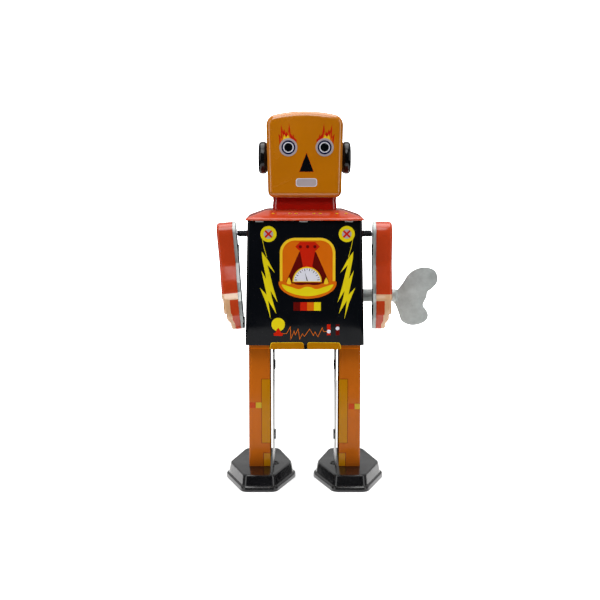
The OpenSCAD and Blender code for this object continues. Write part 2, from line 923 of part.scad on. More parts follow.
in_frame() leg_shell(right);  // leg_shell_right
in_frame() leg_plate(right);  // leg_plate_right
in_frame() foot_shell(right);  // foot_shell_right
in_frame() foot_sole(right);  // foot_sole_right
in_frame() foot_claw(right);  // foot_claw_right
in_frame() claw_pin(right);  // claw_pin_right
in_frame() winding_key();
in_frame() winding_arbor();
in_frame() ratchet_wheel();
in_frame() great_wheel();
in_frame() click();
in_frame() click_pin();
in_frame() click_spring();
in_frame() crank_shaft();
in_frame() crank_pinion();
in_frame() crank_wheel();
in_frame() crank_disc(left);  // crank_disc_left
in_frame() crank_disc(right);  // crank_disc_right
in_frame() governor_shaft();
in_frame() governor_pinion();
in_frame() star_wheel();
in_frame() verge();
in_frame() verge_pin();
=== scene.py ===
import json
from math import cos, pi, radians, sin

import bpy
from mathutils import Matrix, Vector


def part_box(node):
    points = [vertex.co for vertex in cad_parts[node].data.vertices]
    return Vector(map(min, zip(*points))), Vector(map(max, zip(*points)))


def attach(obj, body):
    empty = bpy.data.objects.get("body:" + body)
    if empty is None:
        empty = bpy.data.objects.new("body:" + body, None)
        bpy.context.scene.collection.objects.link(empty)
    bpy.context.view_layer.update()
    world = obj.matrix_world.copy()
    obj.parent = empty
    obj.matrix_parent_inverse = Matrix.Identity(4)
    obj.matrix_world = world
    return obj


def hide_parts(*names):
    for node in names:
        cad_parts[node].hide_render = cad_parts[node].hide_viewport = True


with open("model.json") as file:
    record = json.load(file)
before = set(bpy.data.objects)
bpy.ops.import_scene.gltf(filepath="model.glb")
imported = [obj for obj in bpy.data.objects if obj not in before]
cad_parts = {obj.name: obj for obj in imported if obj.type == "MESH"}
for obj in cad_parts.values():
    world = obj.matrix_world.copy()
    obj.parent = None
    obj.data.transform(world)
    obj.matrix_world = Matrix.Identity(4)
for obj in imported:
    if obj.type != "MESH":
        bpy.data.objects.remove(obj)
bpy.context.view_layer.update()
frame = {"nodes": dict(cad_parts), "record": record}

bl_info = {
    "name": "Printed Tin Walking Robot",
    "version": (1, 0, 0),
    "blender": (4, 5, 0),
    "location": "View3D > Sidebar > Tin Robot",
    "description": "Builds the lacquered, printed tinplate and the bright metal of a clockwork robot",
    "category": "Add Mesh",
}

MM = 0.001
SHEET = 0.45 * MM          # thickness of the visible tin
INK = 0.025 * MM           # how far each printed layer stands over the one below it

BODY_LO, BODY_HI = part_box("body_front")
PLATE_LO, PLATE_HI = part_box("shoulder_plate")
NECK_LO, NECK_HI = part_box("neck_collar")
HEAD_LO, HEAD_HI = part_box("head_front")
HEAD_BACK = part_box("head_back")[1].y
SHAFT_LO, SHAFT_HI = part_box("shoulder_shaft")
MID_X = (BODY_LO.x + BODY_HI.x) / 2
FRONT_Y = BODY_LO.y
BODY_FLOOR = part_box("hip_plate")[0].z
HEAD_MID_Y = (HEAD_LO.y + HEAD_BACK) / 2
SHOULDER = Vector((MID_X, (SHAFT_LO.y + SHAFT_HI.y) / 2, (SHAFT_LO.z + SHAFT_HI.z) / 2))
SIDES = (("left", -1), ("right", 1))
ARM_INNER = 23.3 * MM      # from the robot's middle to an arm's open side
ARM_WALL = 5.3 * MM        # an arm's width
LEG_WALL = 7.3 * MM        # a leg channel's width
KEY_NECK = 29.4 * MM       # from the robot's middle to where the key's wing starts


def paint(red, green, blue):
    """A display colour from 0 to 255 as the linear colour that a socket takes."""
    def linear(c):
        c /= 255
        return c / 12.92 if c <= 0.04045 else ((c + 0.055) / 1.055) ** 2.4
    return (linear(red), linear(green), linear(blue))


def colour_prop(name, description, default):
    return bpy.props.FloatVectorProperty(name=name, description=description, subtype="COLOR", size=3,
                                         min=0, max=1, default=default)


def length_prop(name, description, default):
    return bpy.props.FloatProperty(name=name, description=description, unit="LENGTH", default=default)


class TinRobotSizes(bpy.types.PropertyGroup):
    """Sizes of the drawn tin and of the view"""
    head_round: length_prop("Head rounding", "Radius of the head's drawn edges", 1.9 * MM)
    body_round: length_prop("Body rounding", "Radius of the body's folded corners", 1.1 * MM)
    arm_round: length_prop("Arm rounding", "Radius of the arm's outer edges", 1.0 * MM)
    print_shift: length_prop("Print shift", "How far the body's print sits off the middle", 0.9 * MM)
    wire: length_prop("Spring wire", "Radius of the shoulder springs' wire", 0.26 * MM)
    camera_distance: length_prop("Camera distance", "From the body's front to the camera", 366 * MM)
    camera_height: length_prop("Camera height", "Of the camera above the floor", 105 * MM)
    camera_aside: length_prop("Camera aside", "Of the camera from the robot's middle", -1.5 * MM)
    camera_tilt: bpy.props.FloatProperty(name="Camera tilt", description="Angle the camera looks down",
                                         subtype="ANGLE", default=radians(6.93))
    camera_lens: bpy.props.FloatProperty(name="Camera lens", description="Focal length in millimetres",
                                         default=69.6)


class TinRobotColours(bpy.types.PropertyGroup):
    """Colours of the lacquers, inks and metals"""
    head: colour_prop("Head", "Ochre lacquer of the head", paint(200, 118, 8))
    black: colour_prop("Black", "Black lacquer of the ears and feet", paint(14, 14, 16))
    body: colour_prop("Body", "Black print ground of the body", paint(10, 12, 16))
    neck: colour_prop("Neck", "Red lacquer of the neck", paint(178, 24, 12))
    shoulders: colour_prop("Shoulders", "Orange-red lacquer of the shoulders and sleeves", paint(200, 66, 28))
    hand: colour_prop("Hand", "Peach lacquer of the hands", paint(222, 176, 132))
    leg: colour_prop("Leg", "Brown-orange lacquer of the legs", paint(178, 92, 20))
    ochre: colour_prop("Ochre", "Ochre ink of the hips and leg panels", paint(172, 112, 6))
    yellow: colour_prop("Yellow", "Yellow ink", paint(226, 206, 24))
    amber: colour_prop("Amber", "Amber ink of the window's frame", paint(240, 196, 40))
    orange: colour_prop("Orange", "Orange ink", paint(214, 104, 14))
    red: colour_prop("Red", "Red ink", paint(196, 34, 14))
    rust: colour_prop("Rust", "Dull red ink of the leg squares", paint(176, 62, 20))
    straw: colour_prop("Straw", "Dull yellow ink of the leg squares", paint(186, 156, 40))
    maroon: colour_prop("Maroon", "Maroon ink", paint(96, 14, 10))
    grey: colour_prop("Grey", "Grey ink", paint(176, 164, 168))
    pale: colour_prop("Pale", "Pale ink of the dial", paint(222, 222, 232))
    navy: colour_prop("Navy", "Navy ink round the eyes", paint(16, 20, 60))
    tin: colour_prop("Tin", "Bare tinplate", paint(196, 196, 194))
    nickel: colour_prop("Nickel", "Dull plate of the key", paint(196, 202, 200))
    steel: colour_prop("Steel", "Drawn steel", paint(170, 170, 172))
    spring: colour_prop("Spring steel", "Blued spring steel", paint(34, 34, 38))
    brass: colour_prop("Brass", "Stamped brass", paint(200, 160, 80))


def sizes():
    return bpy.context.scene.tin_robot_sizes


def colours():
    return bpy.context.scene.tin_robot_colours


# ---- Materials ----

def add(tree, kind, values=None, **settings):
    """A node with its settings, whose inputs are linked where the value is another node's socket."""
    made = tree.nodes.new(kind)
    for key, value in settings.items():
        setattr(made, key, value)
    for key, value in (values or {}).items():
        if isinstance(value, bpy.types.NodeSocket):
            tree.links.new(value, made.inputs[key])
        else:
            made.inputs[key].default_value = value
    return made


def new_group(name, inputs, outputs):
    """An empty node group with the named sockets: (name, socket kind, default)."""
    tree = bpy.data.node_groups.new(name, "ShaderNodeTree")
    for label, kind, default in inputs:
        made = tree.interface.new_socket(label, in_out="INPUT", socket_type=kind)
        made.default_value = default
    for label, kind in outputs:
        tree.interface.new_socket(label, in_out="OUTPUT", socket_type=kind)
    return tree, add(tree, "NodeGroupInput"), add(tree, "NodeGroupOutput")


def noise(tree, place, scale, detail, **more):
    return add(tree, "ShaderNodeTexNoise", {"Vector": place, "Scale": scale, "Detail": detail,
                                            **more}).outputs["Fac"]


def remap(tree, value, low, high, to_low=0.0, to_high=1.0):
    """The value, moved from one range to another and kept inside it."""
    return add(tree, "ShaderNodeMapRange", {"Value": value, "From Min": low, "From Max": high,
                                            "To Min": to_low, "To Max": to_high}).outputs["Result"]


def combine(tree, operation, a, b):
    return add(tree, "ShaderNodeMath", {0: a, 1: b}, operation=operation).outputs["Value"]


def mix(tree, share, a, b, blend="MIX"):
    return add(tree, "ShaderNodeMixRGB", {"Fac": share, "Color1": a, "Color2": b},
               blend_type=blend).outputs["Color"]


def bump(tree, strength, distance, height, **more):
    return add(tree, "ShaderNodeBump", {"Strength": strength, "Distance": distance, "Height": height,
                                        **more}).outputs["Normal"]


def edge_mask(tree, radius):
    """White where the surface turns a corner, from a bevelled normal against the true one."""
    soft = add(tree, "ShaderNodeBevel", {"Radius": radius}, samples=4)
    true = add(tree, "ShaderNodeNewGeometry")
    turn = add(tree, "ShaderNodeVectorMath", {0: soft.outputs["Normal"], 1: true.outputs["Normal"]},
               operation="DOT_PRODUCT")
    return remap(tree, turn.outputs["Value"], 0.97, 0.80)


def lacquer_group():
    """Litho lacquer on tin: clouded colour, dust, rubbed edges, handling smears, dents and orange peel."""
    colour, number = "NodeSocketColor", "NodeSocketFloat"
    tree, given, out = new_group(
        "Lacquer finish",
        [("Colour", colour, (1, 1, 1, 1)), ("Bare", colour, (0.7, 0.62, 0.5, 1)), ("Rub", number, 0.5),
         ("Dent", number, 0.3), ("Gloss", number, 0.2)],
        [("Colour", colour), ("Roughness", number), ("Normal", "NodeSocketVector")])
    place = add(tree, "ShaderNodeTexCoord").outputs["Object"]
    shade = remap(tree, noise(tree, place, 70, 3), 0, 1, 0.82, 1.14)
    clouded = mix(tree, 1, given.outputs["Colour"], shade, "MULTIPLY")
    dust = add(tree, "ShaderNodeTexVoronoi", {"Vector": place, "Scale": 900}).outputs["Distance"]
    dusty = mix(tree, remap(tree, dust, 0.09, 0.04, 0, 0.06), clouded, (0.55, 0.5, 0.45, 1))
    broken = remap(tree, noise(tree, place, 700, 2), 0.40, 0.62)
    worn = combine(tree, "MULTIPLY", edge_mask(tree, 0.22 * MM), broken)
    rubbed = combine(tree, "MULTIPLY", worn, given.outputs["Rub"])
    final = mix(tree, rubbed, dusty, given.outputs["Bare"])
    smear = remap(tree, noise(tree, place, 140, 4, Distortion=0.6), 0.3, 0.75, 0, 0.14)
    dented = bump(tree, given.outputs["Dent"], 0.9 * MM, noise(tree, place, 85, 1))
    surface = bump(tree, 0.10, 0.03 * MM, noise(tree, place, 1500, 1), Normal=dented)
    tree.links.new(final, out.inputs["Colour"])
    tree.links.new(combine(tree, "ADD", smear, given.outputs["Gloss"]), out.inputs["Roughness"])
    tree.links.new(surface, out.inputs["Normal"])
    return tree


def metal_group():
    """Plain metal: mottled tone, tarnish, fine drawn scratches."""
    colour, number = "NodeSocketColor", "NodeSocketFloat"
    tree, given, out = new_group(
        "Metal finish",
        [("Colour", colour, (1, 1, 1, 1)), ("Mottle", number, 0.3), ("Scratch", number, 0.2),
         ("Gloss", number, 0.3)],
        [("Colour", colour), ("Roughness", number), ("Normal", "NodeSocketVector")])
    place = add(tree, "ShaderNodeTexCoord").outputs["Object"]
    cloud = noise(tree, place, 330, 5, Roughness=0.65)
    tone = remap(tree, cloud, 0.3, 0.7, 0.35, 1.15)
    mottled = mix(tree, given.outputs["Mottle"], given.outputs["Colour"], tone, "MULTIPLY")
    stretched = add(tree, "ShaderNodeMapping", {"Vector": place, "Scale": (250, 2500, 2500)})
    lines = noise(tree, stretched.outputs["Vector"], 1, 2)
    tarnish = remap(tree, cloud, 0, 1, -0.08, 0.22)
    grain = bump(tree, given.outputs["Scratch"], 0.03 * MM, lines)
    pitted = bump(tree, given.outputs["Mottle"], 0.05 * MM, cloud, Normal=grain)
    tree.links.new(mottled, out.inputs["Colour"])
    tree.links.new(combine(tree, "ADD", tarnish, given.outputs["Gloss"]), out.inputs["Roughness"])
    tree.links.new(pitted, out.inputs["Normal"])
    return tree


def finish_with(name, group, inputs, metallic, coat, specular=0.5):
    """A material whose Principled shader reads colour, roughness and normal from a finish group."""
    material = bpy.data.materials.new(name)
    material.use_nodes = True
    tree = material.node_tree
    shader = tree.nodes["Principled BSDF"]
    shader.inputs["Metallic"].default_value = metallic
    shader.inputs["Coat Weight"].default_value = coat
    shader.inputs["Coat Roughness"].default_value = 0.06
    shader.inputs["Specular IOR Level"].default_value = specular
    made = add(tree, "ShaderNodeGroup", node_tree=group)
    for key, value in inputs.items():
        made.inputs[key].default_value = value
    tree.links.new(made.outputs["Colour"], shader.inputs["Base Color"])
    tree.links.new(made.outputs["Roughness"], shader.inputs["Roughness"])
    tree.links.new(made.outputs["Normal"], shader.inputs["Normal"])
    return material


def lacquer(name, colour, rub=0.5, dent=0.3, gloss=0.2, coat=0.5, specular=0.5):
    """The lacquer of this name and colour, made once."""
    if name in bpy.data.materials:
        return bpy.data.materials[name]
    group = bpy.data.node_groups.get("Lacquer finish") or lacquer_group()
    return finish_with(name, group, {"Colour": (*colour, 1), "Rub": rub, "Dent": dent, "Gloss": gloss}, 0,
                       coat, specular)


def metal(name, colour, mottle=0.3, scratch=0.2, gloss=0.3, metallic=1.0):
    """The bare metal of this name and colour, made once."""
    if name in bpy.data.materials:
        return bpy.data.materials[name]
    group = bpy.data.node_groups.get("Metal finish") or metal_group()
    return finish_with(name, group, {"Colour": (*colour, 1), "Mottle": mottle, "Scratch": scratch,
                                     "Gloss": gloss}, metallic, 0)


def ink(name):
    """Printing ink in one of the named colours, under one thin varnish that is the same on every ground."""
    return lacquer(f"{name.capitalize()} ink", getattr(colours(), name), rub=0, dent=0.15, gloss=0.1,
                   coat=0.05, specular=0.12)


def sleeve_lacquer():
    return lacquer("Orange-red lacquer", colours().shoulders, rub=0.75, dent=0.7, gloss=0.14, coat=0.3,
                   specular=0.4)


def black_lacquer():
    return lacquer("Black lacquer", colours().black, rub=0.25, dent=0.25, gloss=0.14, coat=0.3,
                   specular=0.35)


# ---- Modelling helpers ----

def deselect():
    """Object mode, with nothing selected."""
    if bpy.context.object and bpy.context.object.mode != "OBJECT":
        bpy.ops.object.mode_set(mode="OBJECT")
    bpy.ops.object.select_all(action="DESELECT")


def activate(piece):
    deselect()
    piece.select_set(True)
    bpy.context.view_layer.objects.active = piece


def apply_place(piece):
    activate(piece)
    bpy.ops.object.transform_apply(location=True, rotation=True, scale=True)


def pick(piece, kind, wanted):
    """Selects only the faces or edges that wanted accepts, and leaves the piece in edit mode."""
    activate(piece)
    bpy.ops.object.mode_set(mode="EDIT")
    bpy.ops.mesh.select_mode(type="FACE" if kind == "faces" else "EDGE")
    bpy.ops.mesh.select_all(action="DESELECT")
    bpy.ops.object.mode_set(mode="OBJECT")
    mesh = piece.data
    if kind == "faces":
        for face in mesh.polygons:
            face.select = wanted(face.center, face.normal)
    else:
        for edge in mesh.edges:
            a, b = (mesh.vertices[i].co for i in edge.vertices)
            edge.select = wanted((a + b) / 2, (b - a).normalized())
    bpy.ops.object.mode_set(mode="EDIT")


def done_editing():
    bpy.ops.object.mode_set(mode="OBJECT")


def open_up(piece, wanted):
    """Takes away the faces that wanted accepts."""
    pick(piece, "faces", wanted)
    bpy.ops.mesh.delete(type="FACE")
    done_editing()


def merge_flat(piece, wanted):
    """Joins the faces that wanted accepts where they lie in one plane."""
    pick(piece, "faces", wanted)
    bpy.ops.mesh.dissolve_limited(angle_limit=radians(1))
    done_editing()


def bevel_edges(piece, width, segments, wanted):
    pick(piece, "edges", wanted)
    bpy.ops.mesh.bevel(offset=width, segments=segments, affect="EDGES")
    done_editing()


def modify(piece, kind, **settings):
    """Adds a modifier, sets it and applies it."""
    activate(piece)
    bpy.ops.object.modifier_add(type=kind)
    modifier = piece.modifiers[-1]
    for key, value in settings.items():
        setattr(modifier, key, value)
    bpy.ops.object.modifier_apply(modifier=modifier.name)


def round_edges(piece, width, segments=3, angle=40):
    modify(piece, "BEVEL", width=width, segments=segments, limit_method="ANGLE", angle_limit=radians(angle))


def thicken(piece, thickness=SHEET):
    modify(piece, "SOLIDIFY", thickness=thickness, offset=-1)


def tidy(piece):
    """Merges doubles and turns every face outwards."""
    activate(piece)
    bpy.ops.object.mode_set(mode="EDIT")
    bpy.ops.mesh.select_all(action="SELECT")
    bpy.ops.mesh.remove_doubles(threshold=0.001 * MM)
    bpy.ops.mesh.normals_make_consistent(inside=False)
    bpy.ops.object.mode_set(mode="OBJECT")


def block(low, high):
    """A cube stretched between two corners: the start of a folded or pressed piece."""
    deselect()
    low, high = Vector(low), Vector(high)
    bpy.ops.mesh.primitive_cube_add(size=1, location=(low + high) / 2)
    piece = bpy.context.object
    piece.scale = high - low
    apply_place(piece)
    return piece


def rod(r, x_from, x_to, y, z, vertices):
    """A solid cylinder that lies across the robot."""
    deselect()
    bpy.ops.mesh.primitive_cylinder_add(vertices=vertices, radius=r, depth=abs(x_to - x_from),
                                        location=((x_from + x_to) / 2, y, z), rotation=(0, radians(90), 0))
    piece = bpy.context.object
    apply_place(piece)
    return piece


def curve_to_mesh(curve):
    piece = bpy.data.objects.new(curve.name, curve)
    bpy.context.collection.objects.link(piece)
    activate(piece)
    bpy.ops.object.convert(target="MESH")
    return bpy.context.object


def cut_out(loops, thickness, place=(0, 0, 0), turn=(0, 0, 0)):
    """Flat shapes cut from closed outlines in their own XY plane, then turned and put in place."""
    curve = bpy.data.curves.new("outline", "CURVE")
    curve.dimensions = "2D"
    curve.fill_mode = "BOTH"
    curve.extrude = thickness / 2
    for loop in loops:
        spline = curve.splines.new("POLY")
        spline.points.add(len(loop) - 1)
        for point, (u, v) in zip(spline.points, loop):
            point.co = (u, v, 0, 1)
        spline.use_cyclic_u = True
    piece = curve_to_mesh(curve)
    piece.location = place
    piece.rotation_euler = turn
    apply_place(piece)
    tidy(piece)
    return piece


UPRIGHT = (radians(90), 0, 0)              # outline's x across the robot, y up, its face to the front
SIDEWAYS = (radians(90), 0, radians(90))   # outline's x to the back, y up, its face to the right


def arc(centre, r, start, end, steps=8):
    return [(centre[0] + r * cos(radians(start + (end - start) * i / steps)),
             centre[1] + r * sin(radians(start + (end - start) * i / steps))) for i in range(steps + 1)]


def disc(centre, r, steps=40):
    return arc(centre, r, 0, 360 - 360 / steps, steps - 1)


def rounded(points, r, steps=5):
    """A closed outline with every corner turned by a quadratic curve that starts r from the corner."""
    made = []
    count = len(points)
    for i, corner in enumerate(points):
        corner, before, after = Vector(corner), Vector(points[i - 1]), Vector(points[(i + 1) % count])
        reach = min(r, (before - corner).length * 0.48, (after - corner).length * 0.48)
        a = corner + (before - corner).normalized() * reach
        b = corner + (after - corner).normalized() * reach
        for k in range(steps + 1):
            t = k / steps
            made.append(tuple(a * (1 - t) ** 2 + corner * 2 * t * (1 - t) + b * t ** 2))
    return made


def flowing(points, steps=6):
    """A closed smooth outline through the points."""
    made = []
    count = len(points)
    for i in range(count):
        p0, p1, p2, p3 = (Vector(points[(i + k) % count]) for k in (-1, 0, 1, 2))
        for k in range(steps):
            t = k / steps
            made.append(tuple(0.5 * (2 * p1 + (p2 - p0) * t + (2 * p0 - 5 * p1 + 4 * p2 - p3) * t ** 2
                                     + (3 * p1 - p0 - 3 * p2 + p3) * t ** 3)))
    return made


def rectangle(left, bottom, right, top):
    return [(left, bottom), (right, bottom), (right, top), (left, top)]


def ribbon(points, width):
    """A closed strip of one width along an open line of points, mitred at its corners."""
    points = [Vector(p) for p in points]
    one, other = [], []
    for i, p in enumerate(points):
        into = (p - points[i - 1]).normalized() if i else None
        out = (points[i + 1] - p).normalized() if i + 1 < len(points) else None
        into, out = into or out, out or into
        off = Vector((-into.y - out.y, into.x + out.x)).normalized()
        reach = width / 2 / max(0.22, off.dot(Vector((-into.y, into.x))))
        one.append(tuple(p + off * reach))
        other.append(tuple(p - off * reach))
    return one + other[::-1]


def in_mm(loop, dx=0.0, dz=0.0, flip=1):
    """Millimetres to metres, moved, and mirrored where flip is -1."""
    made = [(flip * u * MM + dx, v * MM + dz) for u, v in loop]
    return made[::-1] if flip < 0 else made


def stack(outline, low_z, steps, centre, size):
    """Raises an outline through levels, each (height, growth all round), by extruding and resizing."""
    piece = cut_out([outline], 0, place=(centre.x, centre.y, low_z))
    activate(piece)
    bpy.ops.object.mode_set(mode="EDIT")
    bpy.ops.mesh.select_all(action="SELECT")
    bpy.ops.mesh.dissolve_limited(angle_limit=radians(1))
    bpy.ops.mesh.select_mode(type="FACE")
    bpy.ops.mesh.select_all(action="SELECT")
    z, grown = low_z, steps[0][1]
    for height, growth in steps[1:]:
        bpy.ops.mesh.extrude_region_move(TRANSFORM_OT_translate={"value": (0, 0, height - z)})
        ratio = [(side + 2 * growth) / (side + 2 * grown) for side in size]
        bpy.ops.transform.resize(value=(*ratio, 1), center_override=(centre.x, centre.y, height))
        z, grown = height, growth
    bpy.ops.object.mode_set(mode="OBJECT")
    tidy(piece)
    return piece


def hand_over(piece, name, body, slot, material, *nodes, angle=30):
    """Names and finishes a piece, rides it on its body and lets it stand for its CAD nodes."""
    piece.name = name
    piece.data.name = name
    if material:
        piece.data.materials.clear()
        piece.data.materials.append(material)
    activate(piece)
    bpy.ops.object.shade_smooth_by_angle(angle=radians(angle))
    deselect()
    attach(piece, body)
    if nodes:
        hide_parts(*nodes)
    return piece


def tab_end(name, body, middle, half, segments):
    """The black end of a folded tab, from its middle and half its size."""
    piece = block(middle - half, middle + half)
    round_edges(piece, 0.15 * MM, segments)
    hand_over(piece, name, body, "black_lacquer", black_lacquer())


def print_on(name, body, slot, front_y, layers):
    """Printed shapes on an upright face: one piece for each layer (ink name, level, loops)."""
    for number, (colour, level, loops) in enumerate(layers):
        depth = INK * (level + 1)
        thickness = depth + 0.02 * MM
        piece = cut_out(loops, thickness, place=(0, front_y - depth + thickness / 2, 0), turn=UPRIGHT)
        hand_over(piece, f"{name}_{number:02d}_{colour}", body, slot, ink(colour))


# ---- Head ----

def head_outline():
    """Front view of the head about its middle: a little wider at the top, with a shallow crown."""
    top = HEAD_HI.z
    half_top, half_low = (HEAD_HI.x - HEAD_LO.x) / 2, (HEAD_HI.x - HEAD_LO.x) / 2 - 0.5 * MM
    crown, corner, foot = 44 * MM, 3.4 * MM, 2.0 * MM
    lean = 12.5
    reach = half_top - corner
    edge = reach + corner * sin(radians(lean))
    drop = crown - (crown ** 2 - edge ** 2) ** 0.5
    middle = top - drop - corner * cos(radians(lean))
    right = arc((half_low - foot, HEAD_LO.z + foot), foot, -90, 0, 6)
    right += arc((reach, middle), corner, 0, 90 - lean, 8)
    steps = 8
    for i in range(1, steps):
        x = edge * (1 - i / steps)
        right.append((x, top - crown + (crown ** 2 - x ** 2) ** 0.5))
    return right + [(0, top)] + [(-x, z) for x, z in right[::-1]]


def make_head():
    """The two drawn halves of the head, each open where they meet."""
    material = lacquer("Ochre lacquer", colours().head, rub=0.35, dent=0.12, gloss=0.16, coat=0.7)
    middle = (HEAD_LO.x + HEAD_HI.x) / 2
    for name, low_y, high_y, node in (("head_face", HEAD_LO.y, HEAD_MID_Y - 0.03 * MM, "head_front"),
                                      ("head_rear", HEAD_MID_Y + 0.03 * MM, HEAD_BACK, "head_back")):
        piece = cut_out([head_outline()], high_y - low_y, place=(middle, (low_y + high_y) / 2, 0),
                        turn=UPRIGHT)
        merge_flat(piece, lambda c, n: abs(n.y) > 0.9)
        outer_y, open_y = (low_y, high_y) if node == "head_front" else (high_y, low_y)
        bevel_edges(piece, sizes().head_round, 8, lambda c, d: abs(c.y - outer_y) < 0.01 * MM)
        open_up(piece, lambda c, n: abs(c.y - open_y) < 0.01 * MM and abs(n.y) > 0.9)
        thicken(piece)
        tidy(piece)
        hand_over(piece, name, "body", "head_lacquer", material, node, angle=40)


def make_ears():
    """Pressed caps on the sides of the head, with a rolled rim and a dished middle."""
    for side, sign in SIDES:
        low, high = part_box(f"ear_cap_{side}")
        wall = 1.4 * MM
        inner = high.x - wall if sign < 0 else low.x + wall
        outer = low.x if sign < 0 else high.x
        centre = (low + high) / 2
        r = (high.z - low.z) / 2
        piece = rod(r, inner, outer, centre.y, centre.z, 64)
        round_edges(piece, 1.1 * MM, 6, 35)
        pick(piece, "faces", lambda c, n: n.x * sign > 0.99)
        bpy.ops.mesh.inset(thickness=0.6 * MM)
        bpy.ops.mesh.extrude_region_move(TRANSFORM_OT_translate={"value": (-sign * 0.5 * MM, 0, 0)})
        bpy.ops.mesh.inset(thickness=0.5 * MM)
        done_editing()
        material = lacquer("Black ear lacquer", colours().black, rub=0.2, dent=0.3, gloss=0.1, coat=0.2,
                           specular=0.25)
        hand_over(piece, f"ear_{side}", "body", "black_lacquer", material, f"ear_cap_{side}")


def print_face():
    """Eyes, nose, mouth and the little flames over the eyes."""
    middle = (HEAD_LO.x + HEAD_HI.x) / 2 + 0.55 * MM
    eye_z = 108.65
    eye_x = 5.72
    eyes = [(-eye_x, eye_z), (eye_x, eye_z)]
    flame = [(-2.7, 0.6), (-3.1, 4.3), (-2.3, 3.1), (-2.35, 7.2), (-1.7, 4.9), (-1.25, 5.6), (-0.9, 4.3),
             (-0.5, 5.0), (-0.1, 3.9), (0.2, 7.6), (0.75, 4.2), (1.4, 3.4), (1.5, 4.3), (1.9, 2.9),
             (2.6, 2.4), (2.4, 0.6)]
    lick = [(-1.9, 1.9), (-1.3, 4.1), (-0.75, 3.1), (-0.1, 3.9), (0.35, 3.0), (0.9, 2.6), (0.9, 1.9)]
    ember = [(-2.45, 1.5), (-2.5, 3.2), (-2.0, 2.6), (-2.05, 5.0), (-1.5, 3.4), (-0.9, 3.6), (-0.3, 3.0),
             (0.1, 4.9), (0.55, 3.2), (1.2, 2.6), (1.8, 1.5)]

    def over_eyes(shape):
        return [in_mm([(flip_x * u + x, v + z) for u, v in shape][::flip_x], middle)
                for (x, z), flip_x in zip(eyes, (1, -1))]

    def rings(r):
        return [in_mm(disc(eye, r), middle) for eye in eyes]

    nose = [(-2.25, 101.0), (2.25, 101.0), (0, 106.9)]
    nose_edge = [(-2.5, 100.85), (2.5, 100.85), (0, 107.4)]
    mouth = rounded(rectangle(-3.35, 96.3, 3.35, 98.95), 0.9)
    mouth_in = rounded(rectangle(-3.12, 96.52, 3.12, 98.73), 0.8)
    print_on("face_print", "body", "head_lacquer", HEAD_LO.y, [
        ("red", 0, over_eyes(flame)),
        ("orange", 1, over_eyes(ember)),
        ("amber", 2, over_eyes(lick)),
        ("grey", 3, rings(2.85)),
        ("navy", 4, rings(2.2)),
        ("pale", 5, rings(1.68)),
        ("body", 6, rings(1.34)),
        ("orange", 0, [in_mm(nose_edge, middle)]),
        ("body", 1, [in_mm(nose, middle)]),
        ("pale", 0, [in_mm(mouth, middle)]),
        ("grey", 1, [in_mm(mouth_in, middle)]),
    ])


def make_neck():
    """The red collar, waisted between two soft rolls."""
    w, d = NECK_HI.x - NECK_LO.x, NECK_HI.y - NECK_LO.y
    outline = rounded(rectangle(-w / 2, -d / 2, w / 2, d / 2), 2.4 * MM, 8)
    centre = Vector(((NECK_LO.x + NECK_HI.x) / 2, (NECK_LO.y + NECK_HI.y) / 2))
    z, top = NECK_LO.z, NECK_HI.z
    piece = stack(outline, z, [(z, 0), (z + 0.3 * MM, 0.12 * MM), (z + 0.7 * MM, 0.05 * MM),
                               (z + 1.3 * MM, 0.12 * MM), (z + 2.2 * MM, 0), (z + 3.0 * MM, -0.12 * MM),
                               (z + 3.5 * MM, -0.02 * MM), (top, 0)], centre, (w, d))
    open_up(piece, lambda c, n: abs(n.z) > 0.95 and (c.z < z + 0.01 * MM or c.z > top - 0.01 * MM))
    thicken(piece)
    material = lacquer("Red lacquer", colours().neck, rub=0.5, dent=0.8, gloss=0.12, coat=0.8)
    hand_over(piece, "neck", "body", "neck_lacquer", material, "neck_collar", angle=60)


# ---- Shoulders and body ----

